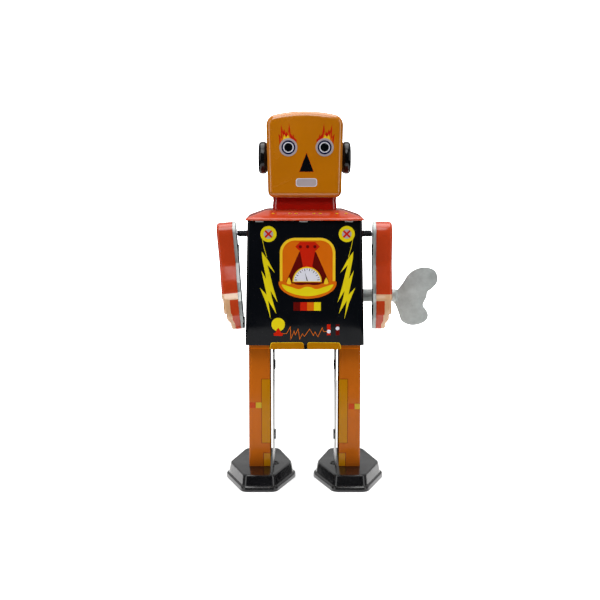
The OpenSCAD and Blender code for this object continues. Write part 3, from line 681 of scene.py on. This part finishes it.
def make_shoulders():
    """The hipped lid, with its folded tab ends and a row of printed dots along the front slope."""
    w, d = PLATE_HI.x - PLATE_LO.x, PLATE_HI.y - PLATE_LO.y
    outline = rounded(rectangle(-w / 2, -d / 2, w / 2, d / 2), 1.6 * MM)
    centre = Vector(((PLATE_LO.x + PLATE_HI.x) / 2, (PLATE_LO.y + PLATE_HI.y) / 2))
    z, top = PLATE_LO.z + 0.45 * MM, PLATE_HI.z
    piece = stack(outline, z, [(z, 0), (z + 0.3 * MM, 0), (z + 0.55 * MM, -0.1 * MM),
                               (z + 0.8 * MM, -0.45 * MM), (z + 1.1 * MM, -1.1 * MM),
                               (top - 0.12 * MM, -6.0 * MM), (top, -6.8 * MM)], centre, (w, d))
    open_up(piece, lambda c, n: c.z < z + 0.01 * MM and abs(n.z) > 0.9)
    thicken(piece)
    hand_over(piece, "shoulder_lid", "body", "shoulder_lacquer", sleeve_lacquer(), "shoulder_plate", angle=50)
    for number, x in enumerate((-14.3, -0.4, 13.9)):
        half = 1.3 * MM
        x = centre.x + x * MM
        y = PLATE_LO.y + 0.1 * MM
        tab = block((x - half, y, z - 0.45 * MM), (x + half, y + SHEET, z + 0.1 * MM))
        round_edges(tab, 0.15 * MM, 3)
        hand_over(tab, f"lid_tab_{number}", "body", "bare_tin", metal("Bare tin", colours().tin))
    slope_low, slope_high = z + 1.1 * MM, top - 0.12 * MM
    y_low, y_high = PLATE_LO.y + 1.1 * MM, PLATE_LO.y + 6.0 * MM
    rise = (slope_high - slope_low) / (y_high - y_low)
    for number, x in enumerate((-10, -4.7, -2.7, 2.9, 4.9, 10.2, 13.2)):
        deselect()
        y = y_low + 2.6 * MM
        bpy.ops.mesh.primitive_uv_sphere_add(segments=20, ring_count=10, radius=0.46 * MM,
                                             location=(MID_X + x * MM, y, slope_low + rise * 2.6 * MM))
        dot = bpy.context.object
        dot.scale = (1.2, 0.9, 0.3)
        apply_place(dot)
        hand_over(dot, f"shoulder_dot_{number}", "body", "shoulder_lacquer", ink("amber"))


def make_body():
    """The folded black wrap: tapered front and sides, narrow returns at the back, a lip below."""
    w_low = BODY_HI.x - BODY_LO.x
    w_top = PLATE_HI.x - PLATE_LO.x - 1.2 * MM
    top, low = BODY_HI.z, BODY_FLOOR
    mid_y = (BODY_LO.y + BODY_HI.y) / 2
    piece = block((BODY_LO.x, BODY_LO.y, low), (BODY_HI.x, BODY_HI.y, top))
    pick(piece, "faces", lambda c, n: n.z > 0.9)
    bpy.ops.transform.resize(value=(w_top / w_low, 1, 1), center_override=(MID_X, mid_y, top))
    done_editing()
    bevel_edges(piece, sizes().body_round, 6, lambda c, d: abs(d.z) > 0.9)
    open_up(piece, lambda c, n: abs(n.z) > 0.9)
    pick(piece, "faces", lambda c, n: n.y > 0.95)
    bpy.ops.mesh.inset(thickness=1.5 * MM, use_boundary=False)
    bpy.ops.mesh.delete(type="FACE")
    done_editing()
    thicken(piece)
    material = lacquer("Black body lacquer", colours().body, rub=0.3, dent=0.12, gloss=0.06, coat=0.05,
                       specular=0.1)
    round_edges(piece, 0.1 * MM, 2, 60)
    hand_over(piece, "body_wrap", "body", "body_print", material, "body_front", angle=35)
    half = 11.3 * MM
    lip = cut_out([rounded(rectangle(MID_X - half, BODY_LO.z, MID_X + half, low + 0.02 * MM), 0.5 * MM)],
                  SHEET, place=(0, FRONT_Y + SHEET / 2, 0), turn=UPRIGHT)
    round_edges(lip, 0.1 * MM, 2)
    hand_over(lip, "body_lip", "body", "body_print", material)


def bolt_shape():
    """One jagged lightning bolt, left of the middle."""
    return [(-14.5, 30.1), (-12.5, 27.3), (-10.35, 23.2), (-12.7, 25.8), (-11.95, 23.0), (-11.0, 19.0),
            (-9.5, 13.8), (-11.75, 17.5), (-11.3, 15.3), (-9.9, 10.1), (-12.5, 14.4), (-11.7, 8.4),
            (-13.2, 13.6), (-15.15, 18.6), (-13.0, 16.3), (-14.65, 24.0), (-13.1, 21.3), (-14.3, 27.6)]


def print_body():
    """The printed front: lamps, bolts, the mountain window, dial, colour bar, bulb, trace and switches."""
    dx, dz = MID_X + sizes().print_shift, BODY_FLOOR

    def pair(loop):
        return [in_mm(loop, dx, dz), in_mm(loop, dx, dz, -1)]

    def one(*loops):
        return [in_mm(loop, dx, dz) for loop in loops]

    lamp = (-12.36, 35.6)
    arm = 1.15
    cross = [(lamp[0] + u, lamp[1] + v) for u, v in (
        (0, 0.42), (arm - 0.3, arm + 0.1), (arm + 0.1, arm - 0.3), (0.42, 0), (arm + 0.1, 0.3 - arm),
        (arm - 0.3, -arm - 0.1), (0, -0.42), (0.3 - arm, -arm - 0.1), (-arm - 0.1, 0.3 - arm), (-0.42, 0),
        (-arm - 0.1, arm - 0.3), (0.3 - arm, arm + 0.1))]
    wire = ribbon([(-14.35, 34.2), (-13.7, 31.0), (-12.9, 28.2)], 0.17)
    half, crown, corner = 8.8, 34.4, 4.8

    def window(inset, floor):
        h, r = half - inset, corner - inset
        return ([(-h, floor), (h, floor + 1.5)] + arc((h - r, crown - inset - r), r, 0, 90)
                + arc((r - h, crown - inset - r), r, 90, 180))

    flanks = [(-7.6, 18.6), (-2.6, 30.0), (2.6, 30.0), (7.6, 18.6)]

    def mirrored(right):
        return right + [(-u, v) for u, v in right[::-1]]

    glow = mirrored([(4.2, 18.8), (3.4, 21.8), (1.5, 25.5), (2.4, 30.2), (3.9, 31.6), (2.4, 33.1)])
    holes = [disc((u, 31.6), 0.5, 20) for u in (-2.3, 0, 2.3)]
    rock = [(4.0, 22.0), (4.9, 24.4), (5.8, 21.6)]
    cinders = [rock, [(-u, v) for u, v in rock[::-1]]]
    bowl = flowing(mirrored([(1.2, 15.1), (4.8, 15.8), (8.2, 17.8), (9.2, 20.3), (7.6, 20.6), (4.6, 19.9),
                             (1.2, 20.2)]))
    lava = flowing(mirrored([(1.2, 15.9), (3.8, 16.4), (6.8, 17.6), (8.2, 19.6), (5.6, 18.9), (2.8, 18.1),
                             (0.8, 18.8)]))
    gap = flowing(mirrored([(0.6, 19.6), (2.2, 19.4), (4.2, 19.8), (2.0, 20.3)]))
    ember = flowing([(5.2, 19.8), (5.9, 21.8), (6.6, 20.0)])
    embers = [ember, [(-u, v) for u, v in ember[::-1]]]
    dial = (-0.15, 20.6)
    dial_r = 4.2

    def half_disc(r, low=0.0):
        return arc(dial, r, 0, 180, 28) + [(dial[0] - r, dial[1] - low), (dial[0] + r, dial[1] - low)]

    ticks = []
    for i in range(15):
        a = radians(6 + 12 * i)
        long = 0.95 if i % 2 == 0 else 0.6
        ends = [(dial[0] + cos(a) * r, dial[1] + sin(a) * r + 0.1) for r in (dial_r - long, dial_r - 0.22)]
        ticks.append(ribbon(ends, 0.2))
    needle = [(-0.25, 20.75), (0.1, 20.75), (-0.85, 23.5)]
    bars = [rectangle(-4.5 + 2.18 * i, 11.2, -2.32 + 2.18 * i, 13.9) for i in range(4)]
    bulb = (-9.35, 6.75)
    socket = [(-10.8, 3.1), (-7.9, 3.1), (-7.9, 4.0), (-8.5, 4.1), (-8.8, 5.0), (-9.3, 5.7), (-9.9, 5.0),
              (-10.2, 4.1), (-10.8, 4.0)]
    trace = ribbon([(-8.0, 3.8), (-6.7, 3.8), (-5.5, 5.9), (-5.3, 2.1), (-4.3, 4.6), (-3.9, 3.4), (-3.0, 5.3),
                    (-2.5, 2.0), (-1.6, 3.8), (-1.0, 2.9), (0.7, 5.3), (1.9, 3.2), (2.4, 4.4), (3.3, 2.8),
                    (4.7, 5.7), (5.1, 4.5), (6.6, 4.5)], 0.17)
    switches = [rectangle(6.2, 3.3, 7.35, 6.8), rectangle(9.0, 3.3, 10.15, 6.8)]
    knobs = [disc((6.78, 4.5), 0.62, 24), disc((9.58, 5.5), 0.6, 24)]
    flap_high, flap_low = 1.02, -1.28
    flaps = [rounded([(-1.1, flap_low), (-1.2, flap_high - 0.5), (-1.8, flap_high), (-11.7, flap_high - 0.1),
                      (-12.2, flap_low)], 0.6),
             rounded([(-0.1, flap_low), (-0.1, flap_high - 0.5), (0.4, flap_high), (10.3, flap_high - 0.1),
                      (10.8, flap_low)], 0.6)]
    flap_fill = [[(u * 0.985, v - (0.16 if v > 0 else 0.0)) for u, v in loop] for loop in flaps]
    print_on("body_front_print", "body", "body_print", FRONT_Y, [
        ("yellow", 0, pair(disc(lamp, 2.55))),
        ("grey", 1, pair(disc(lamp, 1.5))),
        ("red", 2, pair(cross)),
        ("yellow", 0, pair(bolt_shape())),
        ("yellow", 0, pair(wire)),
        ("amber", 0, one(window(0, 18.6))),
        ("orange", 1, one(window(0.85, 18.8))),
        ("maroon", 2, one(flanks)),
        ("red", 3, one(glow)),
        ("maroon", 4, one(*holes)),
        ("maroon", 5, one(*cinders)),
        ("orange", 5, one(bowl)),
        ("yellow", 6, one(lava)),
        ("maroon", 7, one(gap)),
        ("amber", 6, one(*embers)),
        ("amber", 8, one(half_disc(dial_r + 0.42, 0.25))),
        ("pale", 9, one(half_disc(dial_r))),
        ("body", 10, one(*ticks)),
        ("body", 11, one(needle)),
        ("maroon", 0, one(bars[0])),
        ("red", 0, one(bars[1])),
        ("orange", 0, one(bars[2])),
        ("yellow", 0, one(bars[3])),
        ("yellow", 0, one(disc(bulb, 2.15))),
        ("red", 1, one(socket)),
        ("orange", 0, one(trace)),
        ("red", 0, one(switches[0])),
        ("maroon", 0, one(switches[1])),
        ("pale", 1, one(*knobs)),
        ("amber", 0, one(*flaps)),
        ("ochre", 1, one(*flap_fill)),
    ])


# ---- Arms ----

def arm_outline():
    """Side view of an arm about its shoulder, front towards -x: bent at the elbow, with a mitten hand."""
    return rounded([(-4.0, 0.4), (-3.9, -9.4), (-6.5, -15.4), (-6.9, -18.4), (-8.5, -21.2), (-8.7, -26.4),
                    (-6.6, -30.6), (-3.6, -31.4), (-0.7, -27.2), (-0.1, -21.4), (0.0, -17.6), (3.5, -9.8),
                    (4.0, 0.4), (3.0, 2.9), (0, 4.1), (-3.0, 2.9)], 1.2, 3)


def make_arms():
    """Hollow pressed arms: sleeve, hand below the wrist and the stripe on the hand's inner edge."""
    peach = lacquer("Peach lacquer", colours().hand, rub=0.35, dent=0.55, gloss=0.15, coat=0.8)
    wrist, stripe_top, stripe_width = -18.9 * MM, -20.8 * MM, 2.9 * MM
    for side, sign in SIDES:
        lean = radians(5) if sign < 0 else 0
        back = 0 if sign < 0 else radians(6)
        inner_x = MID_X + sign * ARM_INNER
        piece = cut_out([in_mm(arm_outline())], ARM_WALL, place=(sign * ARM_WALL / 2, 0, 0), turn=SIDEWAYS)
        merge_flat(piece, lambda c, n: abs(n.x) > 0.9)
        bevel_edges(piece, sizes().arm_round, 4, lambda c, d: c.x * sign > ARM_WALL - 0.01 * MM)
        open_up(piece, lambda c, n: c.x * sign < 0.01 * MM and abs(n.x) > 0.9)
        across, upright = (0, 0, 1), (1, 0, 0)
        for point, normal in (((0, 0, wrist), across), ((sign * stripe_width, 0, 0), upright),
                              ((0, 0, stripe_top), across), ((0, 0, -25.5 * MM), across),
                              ((0, 0, -28.8 * MM), across)):
            pick(piece, "faces", lambda c, n: True)
            bpy.ops.mesh.bisect(plane_co=point, plane_no=normal)
            done_editing()
        for material in (sleeve_lacquer(), peach):
            piece.data.materials.append(material)
        for face in piece.data.polygons:
            c = face.center
            stripe = c.x * sign < stripe_width and c.y < -4.5 * MM and c.z < stripe_top
            face.material_index = 1 if c.z < wrist and not stripe else 0
        for level, narrow in ((-20.7 * MM, 0.94), (-25.4 * MM, 0.86), (-28.7 * MM, 0.76)):
            pick(piece, "edges", lambda c, d: c.z < level)
            bpy.ops.transform.resize(value=(narrow, 1, 1), center_override=(0, 0, level))
            done_editing()
        thicken(piece)
        piece.rotation_euler = (back, -lean, 0)
        piece.location = (inner_x, SHOULDER.y, SHOULDER.z)
        apply_place(piece)
        hand_over(piece, f"arm_{side}", f"{side}_arm", "shoulder_lacquer", None,
                  f"arm_shell_{side}", angle=40)
        for number, z in enumerate((75.6, 52.4 if sign < 0 else 56.0)):
            top = SHOULDER.z - z * MM
            shift = sign * top * sin(lean)
            x = inner_x - sign * 1.15 * MM - shift
            y = SHOULDER.y + (-2.6 * MM if number == 0 else -7.0 * MM) + top * sin(back)
            middle, half = Vector((x, y, z * MM)), Vector((0.35, 0.4, 1.8)) * MM
            tab_end(f"arm_tab_{side}_{number}", f"{side}_arm", middle, half, 2)


def make_shoulder_springs():
    """The wire coils between the body and the arms."""
    turns, per_turn = 6, 18
    for side in ("left", "right"):
        low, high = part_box(f"shoulder_spring_{side}")
        wire = sizes().wire
        r = (high.z - low.z) / 2 - wire
        curve = bpy.data.curves.new("coil", "CURVE")
        curve.dimensions = "3D"
        curve.bevel_depth = wire
        curve.bevel_resolution = 3
        curve.use_fill_caps = True
        count = turns * per_turn + 1
        spline = curve.splines.new("POLY")
        spline.points.add(count - 1)
        for i, point in enumerate(spline.points):
            a = 2 * pi * i / per_turn
            x = low.x + wire + (high.x - low.x - 2 * wire) * i / (count - 1)
            point.co = (x, SHOULDER.y + r * cos(a), SHOULDER.z + r * sin(a), 1)
        piece = curve_to_mesh(curve)
        tidy(piece)
        material = metal("Blued spring steel", colours().spring, 0.3, 0.2, 0.5, 0.1)
        hand_over(piece, f"coil_{side}", "body", "spring_steel", material,
                  f"shoulder_spring_{side}", angle=60)


# ---- Legs and feet ----

def make_legs():
    """The folded leg channels with their black tab ends on the inner side."""
    material = lacquer("Brown-orange lacquer", colours().leg, rub=0.3, dent=0.12, gloss=0.12, coat=0.04,
                       specular=0.1)
    for side, sign in SIDES:
        low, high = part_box(f"leg_shell_{side}")
        outer = low.x if sign < 0 else high.x
        inner = outer - sign * LEG_WALL
        piece = block((min(outer, inner), low.y, low.z), (max(outer, inner), high.y, high.z))
        bevel_edges(piece, 0.6 * MM, 4, lambda c, d: abs(d.z) > 0.9)
        open_up(piece, lambda c, n: abs(n.z) > 0.9 or -n.x * sign > 0.5)
        thicken(piece)
        round_edges(piece, 0.08 * MM, 2, 60)
        hand_over(piece, f"leg_{side}", f"{side}_leg", "leg_lacquer", material, f"leg_shell_{side}")
        for number, z in enumerate((15.8, 38.9)):
            x = inner - sign * 1.15 * MM
            middle, half = Vector((x, low.y + 1.2 * MM, z * MM)), Vector((0.3, 1.0, 1.5)) * MM
            tab_end(f"leg_tab_{side}_{number}", f"{side}_leg", middle, half, 3)


def print_legs():
    """Ochre strips, little coloured squares and the pale line at the top of each leg."""
    for side, sign in SIDES:
        low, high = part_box(f"leg_shell_{side}")
        outer = low.x if sign < 0 else high.x
        inner = outer - sign * LEG_WALL
        squares = (0.3, 2.25) if sign < 0 else (3.55, 5.45)
        first = low.x / MM if sign < 0 else inner / MM

        def strip(a, b, z0, z1):
            x0, x1 = sorted((inner / MM + sign * a, inner / MM + sign * b))
            return in_mm(rectangle(x0, z0, x1, z1))

        square_z = 25.6 if sign < 0 else 25.2
        blocks = [in_mm(rectangle(first + u, square_z - 0.9, first + u + 1.85, square_z + 0.9))
                  for u in squares]
        print_on(f"leg_print_{side}", f"{side}_leg", "leg_lacquer", low.y, [
            ("maroon", 0, [strip(0.35, 3.25, 13.0, 34.3), strip(0.35, 2.65, 5.4, 9.8)]),
            ("ochre", 1, [strip(0.35, 3.12, 13.12, 34.18), strip(0.35, 2.5, 5.4, 9.65)]),
            ("rust", 2, [blocks[0]]),
            ("straw", 2, [blocks[1]]),
            ("orange", 0, [strip(0.4, 6.9, 44.2, 44.5)]),
        ])


def make_feet():
    """The glossy pressed feet: a six-sided sloping tier over a rolled flange."""
    for side, sign in SIDES:
        low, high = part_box(f"foot_shell_{side}")
        centre = Vector(((low.x + high.x) / 2, 0))
        flange = 1.45 * MM
        front, back = low.y + flange, high.y - flange
        half_w = (high.x - low.x) / 2 - flange
        wide_y = front + 17.6 * MM
        plan = [(-4.75 * MM, front), (4.75 * MM, front), (half_w, wide_y), (5.75 * MM, back),
                (-5.75 * MM, back), (-half_w, wide_y)]
        centre.y = (front + back) / 2
        grow = Vector(((half_w + flange) / half_w, (back - front + 2 * flange) / (back - front)))
        plan = rounded([(u * grow.x, (v - centre.y) * grow.y) for u, v in plan], 2.2 * MM, 6)
        z, top = low.z, high.z
        piece = stack(plan, z, [(z, flange), (z + 0.9 * MM, flange), (z + 1.3 * MM, flange - 0.15 * MM),
                                (z + 1.55 * MM, flange - 0.5 * MM), (z + 1.7 * MM, 0.65 * MM),
                                (z + 2.0 * MM, 0.5 * MM), (top - 0.75 * MM, 0.1 * MM),
                                (top - 0.3 * MM, -0.12 * MM), (top - 0.08 * MM, -0.45 * MM),
                                (top, -0.9 * MM)],
                      centre, (2 * half_w, back - front))
        open_up(piece, lambda c, n: c.z < z + 0.01 * MM and abs(n.z) > 0.9)
        thicken(piece)
        hand_over(piece, f"foot_{side}", f"{side}_leg", "black_lacquer", black_lacquer(),
                  f"foot_shell_{side}", angle=28)
        leg_low, leg_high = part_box(f"leg_plate_{side}")
        slot_x = leg_low.x + 0.2 * MM if sign > 0 else leg_high.x - 0.2 * MM
        rim = cut_out([arc((0, 0), 1.7 * MM, 90, 270, 16) + arc((0, 0), 1.35 * MM, 270, 90, 16)], 0.3 * MM,
                      place=(slot_x, leg_low.y + 4.0 * MM, top + 0.1 * MM),
                      turn=(0, 0, 0 if sign > 0 else pi))
        round_edges(rim, 0.08 * MM, 2)
        hand_over(rim, f"foot_slot_{side}", f"{side}_leg", "black_lacquer", black_lacquer())


# ---- Key ----

def make_key():
    """The stamped key: a rolled stem with its seam, and a skewed two-lobed wing."""
    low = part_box("winding_key")[0]
    arbor_low, arbor_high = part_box("winding_arbor")
    axis = Vector((0, (arbor_low.y + arbor_high.y) / 2, (arbor_low.z + arbor_high.z) / 2))
    r = 2.15 * MM
    neck_x = MID_X + KEY_NECK
    stem = rod(r, low.x, neck_x + 0.9 * MM, axis.y, axis.z, 48)
    pick(stem, "faces", lambda c, n: n.x < -0.9)
    bpy.ops.mesh.inset(thickness=0.6 * MM)
    bpy.ops.mesh.extrude_region_move(TRANSFORM_OT_translate={"value": (8 * MM, 0, 0)})
    done_editing()
    pick(stem, "faces", lambda c, n: n.x > 0.9)
    bpy.ops.mesh.extrude_region_move(TRANSFORM_OT_translate={"value": (0.9 * MM, 0, 0)})
    bpy.ops.transform.resize(value=(1, 0.3, 0.95), center_override=(neck_x, axis.y, axis.z))
    done_editing()
    round_edges(stem, 0.22 * MM, 3)
    material = metal("Dull nickel", colours().nickel, mottle=0.4, scratch=0.3, gloss=0.45, metallic=0.35)
    hand_over(stem, "key_stem", "key", "key_tin", material, "winding_key")
    seam = block((low.x + 0.2 * MM, axis.y - r - 0.02 * MM, axis.z - 0.55 * MM),
                 (neck_x, axis.y - r + 0.35 * MM, axis.z - 0.15 * MM))
    round_edges(seam, 0.12 * MM, 3)
    hand_over(seam, "key_seam", "key", "key_tin", material)
    wing = flowing([(29.5, -1.8), (29.6, 1.2), (30.8, 1.6), (32.9, 4.3), (34.8, 7.2), (37.2, 8.9),
                    (40.0, 9.5), (43.1, 8.7), (44.4, 6.5), (44.2, 4.3), (42.9, 2.6), (41.2, 1.2),
                    (40.8, -0.6), (39.7, -3.2), (40.8, -4.9), (41.4, -6.6), (40.8, -8.4), (38.5, -9.7),
                    (35.6, -10.0), (32.7, -8.7), (31.6, -6.0), (30.4, -3.0)])
    piece = cut_out([in_mm(wing, MID_X, axis.z)], 1.0 * MM, place=(0, axis.y, 0), turn=UPRIGHT)
    merge_flat(piece, lambda c, n: abs(n.y) > 0.9)
    round_edges(piece, 0.28 * MM, 4, 50)
    hand_over(piece, "key_wing", "key", "key_tin", material)


# ---- Metalwork that keeps its CAD shape ----

def finish_metalwork():
    """Gives each shown CAD node the finish of its record slot."""
    c = colours()
    finishes = {
        "bare_tin": metal("Bare tin", c.tin, 0.18, 0.25, 0.24),
        "steel": metal("Drawn steel", c.steel, 0.35, 0.4, 0.3),
        "spring_steel": metal("Blued spring steel", c.spring, 0.3, 0.2, 0.25),
        "brass": metal("Stamped brass", c.brass, 0.4, 0.3, 0.3),
        "body_print": lacquer("Black body lacquer", c.body),
        "key_tin": metal("Dull nickel", c.nickel),
        "black_lacquer": black_lacquer(),
        "shoulder_lacquer": sleeve_lacquer(),
    }
    for entry in frame["record"]["subparts"]:
        node = frame["nodes"][entry["node"]]
        finish = finishes.get(entry["material_slot"])
        if entry["node"].startswith("arm_plate"):
            finish = metal("Dull tin", c.nickel, 0.3, 0.3, 0.45, 0.5)
        if finish:
            node.data.materials.clear()
            node.data.materials.append(finish)


# ---- Stage ----

def soft_light(name, place, aim, size, power, tint=(1, 1, 1)):
    lamp = bpy.data.lights.new(name, "AREA")
    lamp.shape = "RECTANGLE"
    lamp.size, lamp.size_y = size
    lamp.energy = power
    lamp.color = tint
    holder = bpy.data.objects.new(name, lamp)
    bpy.context.collection.objects.link(holder)
    holder.location = place
    holder.rotation_euler = (Vector(aim) - Vector(place)).to_track_quat("-Z", "Y").to_euler()


def make_stage():
    """A pale floor, a pale surround and soft boxes above and beside the robot."""
    deselect()
    bpy.ops.mesh.primitive_circle_add(vertices=128, radius=0.15, fill_type="NGON", location=(MID_X, 0.02, 0))
    floor = bpy.context.object
    floor.name = "floor"
    apply_place(floor)
    material = bpy.data.materials.new("Pale floor")
    material.use_nodes = True
    shader = material.node_tree.nodes["Principled BSDF"]
    shader.inputs["Base Color"].default_value = (0.8, 0.8, 0.8, 1)
    shader.inputs["Roughness"].default_value = 0.8
    shader.inputs["Specular IOR Level"].default_value = 0.1
    shader.inputs["Emission Color"].default_value = (1, 1, 1, 1)
    shader.inputs["Emission Strength"].default_value = 0.6
    floor.data.materials.append(material)
    world = bpy.data.worlds.new("Pale room")
    world.use_nodes = True
    tree = world.node_tree
    tree.nodes.clear()
    direction = add(tree, "ShaderNodeTexCoord").outputs["Generated"]
    parts = add(tree, "ShaderNodeSeparateXYZ", {"Vector": direction})
    behind = remap(tree, parts.outputs["Y"], -0.35, 0.55, 0.02, 0.5)
    rise = remap(tree, parts.outputs["Z"], 0.05, 0.25, 0.12, 1)
    glow = combine(tree, "MULTIPLY", behind, rise)
    seen = add(tree, "ShaderNodeBackground", {"Color": (1, 1, 1, 1), "Strength": 3.2})
    lit = add(tree, "ShaderNodeBackground", {"Color": (1, 1, 1, 1), "Strength": glow})
    path = add(tree, "ShaderNodeLightPath")
    both = add(tree, "ShaderNodeMixShader", {0: path.outputs["Is Camera Ray"], 1: lit.outputs["Background"],
                                             2: seen.outputs["Background"]})
    add(tree, "ShaderNodeOutputWorld", {"Surface": both.outputs["Shader"]})
    bpy.context.scene.world = world
    bpy.context.scene.view_settings.view_transform = "Standard"
    aim = (MID_X, 0, 0.07)
    soft_light("key_box", (MID_X - 0.12, -0.42, 0.62), aim, (0.5, 0.35), 2.6)
    soft_light("top_box", (MID_X, 0.05, 0.6), aim, (0.5, 0.5), 2.9)
    soft_light("left_box", (MID_X - 0.5, -0.25, 0.2), aim, (0.2, 0.5), 0.7)
    soft_light("right_box", (MID_X + 0.5, -0.25, 0.2), aim, (0.2, 0.5), 0.7)
    size = sizes()
    camera = bpy.data.cameras.new("front_view")
    camera.lens = size.camera_lens
    camera.sensor_width = 36
    holder = bpy.data.objects.new("front_view", camera)
    bpy.context.collection.objects.link(holder)
    holder.location = (MID_X + size.camera_aside, FRONT_Y - size.camera_distance, size.camera_height)
    holder.rotation_euler = (pi / 2 - size.camera_tilt, 0, 0)
    bpy.context.scene.camera = holder


# ---- Operators and panel ----

class TINROBOT_OT_stage(bpy.types.Operator):
    """A pale floor, a pale surround and soft boxes above and beside the robot"""
    bl_idname = "tin_robot.stage"
    bl_label = "Stage"
    bl_options = {"REGISTER", "UNDO"}

    def execute(self, context):
        make_stage()
        return {"FINISHED"}


class TINROBOT_OT_head(bpy.types.Operator):
    """The two drawn halves of the head, each open where they meet"""
    bl_idname = "tin_robot.head"
    bl_label = "Head"
    bl_options = {"REGISTER", "UNDO"}

    def execute(self, context):
        make_head()
        return {"FINISHED"}


class TINROBOT_OT_ears(bpy.types.Operator):
    """Pressed caps on the sides of the head, with a rolled rim and a dished middle"""
    bl_idname = "tin_robot.ears"
    bl_label = "Ears"
    bl_options = {"REGISTER", "UNDO"}

    def execute(self, context):
        make_ears()
        return {"FINISHED"}


class TINROBOT_OT_face_print(bpy.types.Operator):
    """Eyes, nose, mouth and the little flames over the eyes"""
    bl_idname = "tin_robot.face_print"
    bl_label = "Face print"
    bl_options = {"REGISTER", "UNDO"}

    def execute(self, context):
        print_face()
        return {"FINISHED"}


class TINROBOT_OT_neck(bpy.types.Operator):
    """The red collar, waisted between two soft rolls"""
    bl_idname = "tin_robot.neck"
    bl_label = "Neck"
    bl_options = {"REGISTER", "UNDO"}

    def execute(self, context):
        make_neck()
        return {"FINISHED"}


class TINROBOT_OT_shoulders(bpy.types.Operator):
    """The hipped lid, with its folded tab ends and a row of printed dots along the front slope"""
    bl_idname = "tin_robot.shoulders"
    bl_label = "Shoulders"
    bl_options = {"REGISTER", "UNDO"}

    def execute(self, context):
        make_shoulders()
        return {"FINISHED"}


class TINROBOT_OT_body(bpy.types.Operator):
    """The folded black wrap: tapered front and sides, narrow returns at the back, a lip below"""
    bl_idname = "tin_robot.body"
    bl_label = "Body"
    bl_options = {"REGISTER", "UNDO"}

    def execute(self, context):
        make_body()
        return {"FINISHED"}


class TINROBOT_OT_body_print(bpy.types.Operator):
    """The printed front: lamps, bolts, the mountain window, dial, colour bar, bulb, trace and switches"""
    bl_idname = "tin_robot.body_print"
    bl_label = "Body print"
    bl_options = {"REGISTER", "UNDO"}

    def execute(self, context):
        print_body()
        return {"FINISHED"}


class TINROBOT_OT_arms(bpy.types.Operator):
    """Hollow pressed arms: sleeve, hand below the wrist and the stripe on the hand's inner edge"""
    bl_idname = "tin_robot.arms"
    bl_label = "Arms"
    bl_options = {"REGISTER", "UNDO"}

    def execute(self, context):
        make_arms()
        return {"FINISHED"}


class TINROBOT_OT_springs(bpy.types.Operator):
    """The wire coils between the body and the arms"""
    bl_idname = "tin_robot.springs"
    bl_label = "Shoulder springs"
    bl_options = {"REGISTER", "UNDO"}

    def execute(self, context):
        make_shoulder_springs()
        return {"FINISHED"}


class TINROBOT_OT_legs(bpy.types.Operator):
    """The folded leg channels with their black tab ends on the inner side"""
    bl_idname = "tin_robot.legs"
    bl_label = "Legs"
    bl_options = {"REGISTER", "UNDO"}

    def execute(self, context):
        make_legs()
        return {"FINISHED"}


class TINROBOT_OT_leg_print(bpy.types.Operator):
    """Ochre strips, little coloured squares and the pale line at the top of each leg"""
    bl_idname = "tin_robot.leg_print"
    bl_label = "Leg print"
    bl_options = {"REGISTER", "UNDO"}

    def execute(self, context):
        print_legs()
        return {"FINISHED"}


class TINROBOT_OT_feet(bpy.types.Operator):
    """The glossy pressed feet: a six-sided sloping tier over a rolled flange"""
    bl_idname = "tin_robot.feet"
    bl_label = "Feet"
    bl_options = {"REGISTER", "UNDO"}

    def execute(self, context):
        make_feet()
        return {"FINISHED"}


class TINROBOT_OT_key(bpy.types.Operator):
    """The stamped key: a rolled stem with its seam, and a skewed two-lobed wing"""
    bl_idname = "tin_robot.key"
    bl_label = "Key"
    bl_options = {"REGISTER", "UNDO"}

    def execute(self, context):
        make_key()
        return {"FINISHED"}


class TINROBOT_OT_metalwork(bpy.types.Operator):
    """Gives each shown CAD node the finish of its record slot"""
    bl_idname = "tin_robot.metalwork"
    bl_label = "Metalwork"
    bl_options = {"REGISTER", "UNDO"}

    def execute(self, context):
        finish_metalwork()
        return {"FINISHED"}


OPERATORS = (TINROBOT_OT_stage, TINROBOT_OT_head, TINROBOT_OT_ears, TINROBOT_OT_face_print,
             TINROBOT_OT_neck, TINROBOT_OT_shoulders, TINROBOT_OT_body, TINROBOT_OT_body_print,
             TINROBOT_OT_arms, TINROBOT_OT_springs, TINROBOT_OT_legs, TINROBOT_OT_leg_print,
             TINROBOT_OT_feet, TINROBOT_OT_key, TINROBOT_OT_metalwork)


class TINROBOT_PT_panel(bpy.types.Panel):
    """Sizes, colours and one button for each group of pieces"""
    bl_label = "Tin Robot"
    bl_idname = "TINROBOT_PT_panel"
    bl_space_type = "VIEW_3D"
    bl_region_type = "UI"
    bl_category = "Tin Robot"

    def draw(self, context):
        layout = self.layout
        for group in (context.scene.tin_robot_sizes, context.scene.tin_robot_colours):
            box = layout.box()
            for key in group.__annotations__:
                box.prop(group, key)
        for operator in OPERATORS:
            layout.operator(operator.bl_idname)


CLASSES = (TinRobotSizes, TinRobotColours, *OPERATORS, TINROBOT_PT_panel)


def register():
    for cls in CLASSES:
        bpy.utils.register_class(cls)
    bpy.types.Scene.tin_robot_sizes = bpy.props.PointerProperty(type=TinRobotSizes)
    bpy.types.Scene.tin_robot_colours = bpy.props.PointerProperty(type=TinRobotColours)


def unregister():
    del bpy.types.Scene.tin_robot_colours
    del bpy.types.Scene.tin_robot_sizes
    for cls in reversed(CLASSES):
        bpy.utils.unregister_class(cls)


def main():
    register()
    for operator in OPERATORS:
        group, name = operator.bl_idname.split(".")
        getattr(getattr(bpy.ops, group), name)()


if __name__ == "__main__":
    main()
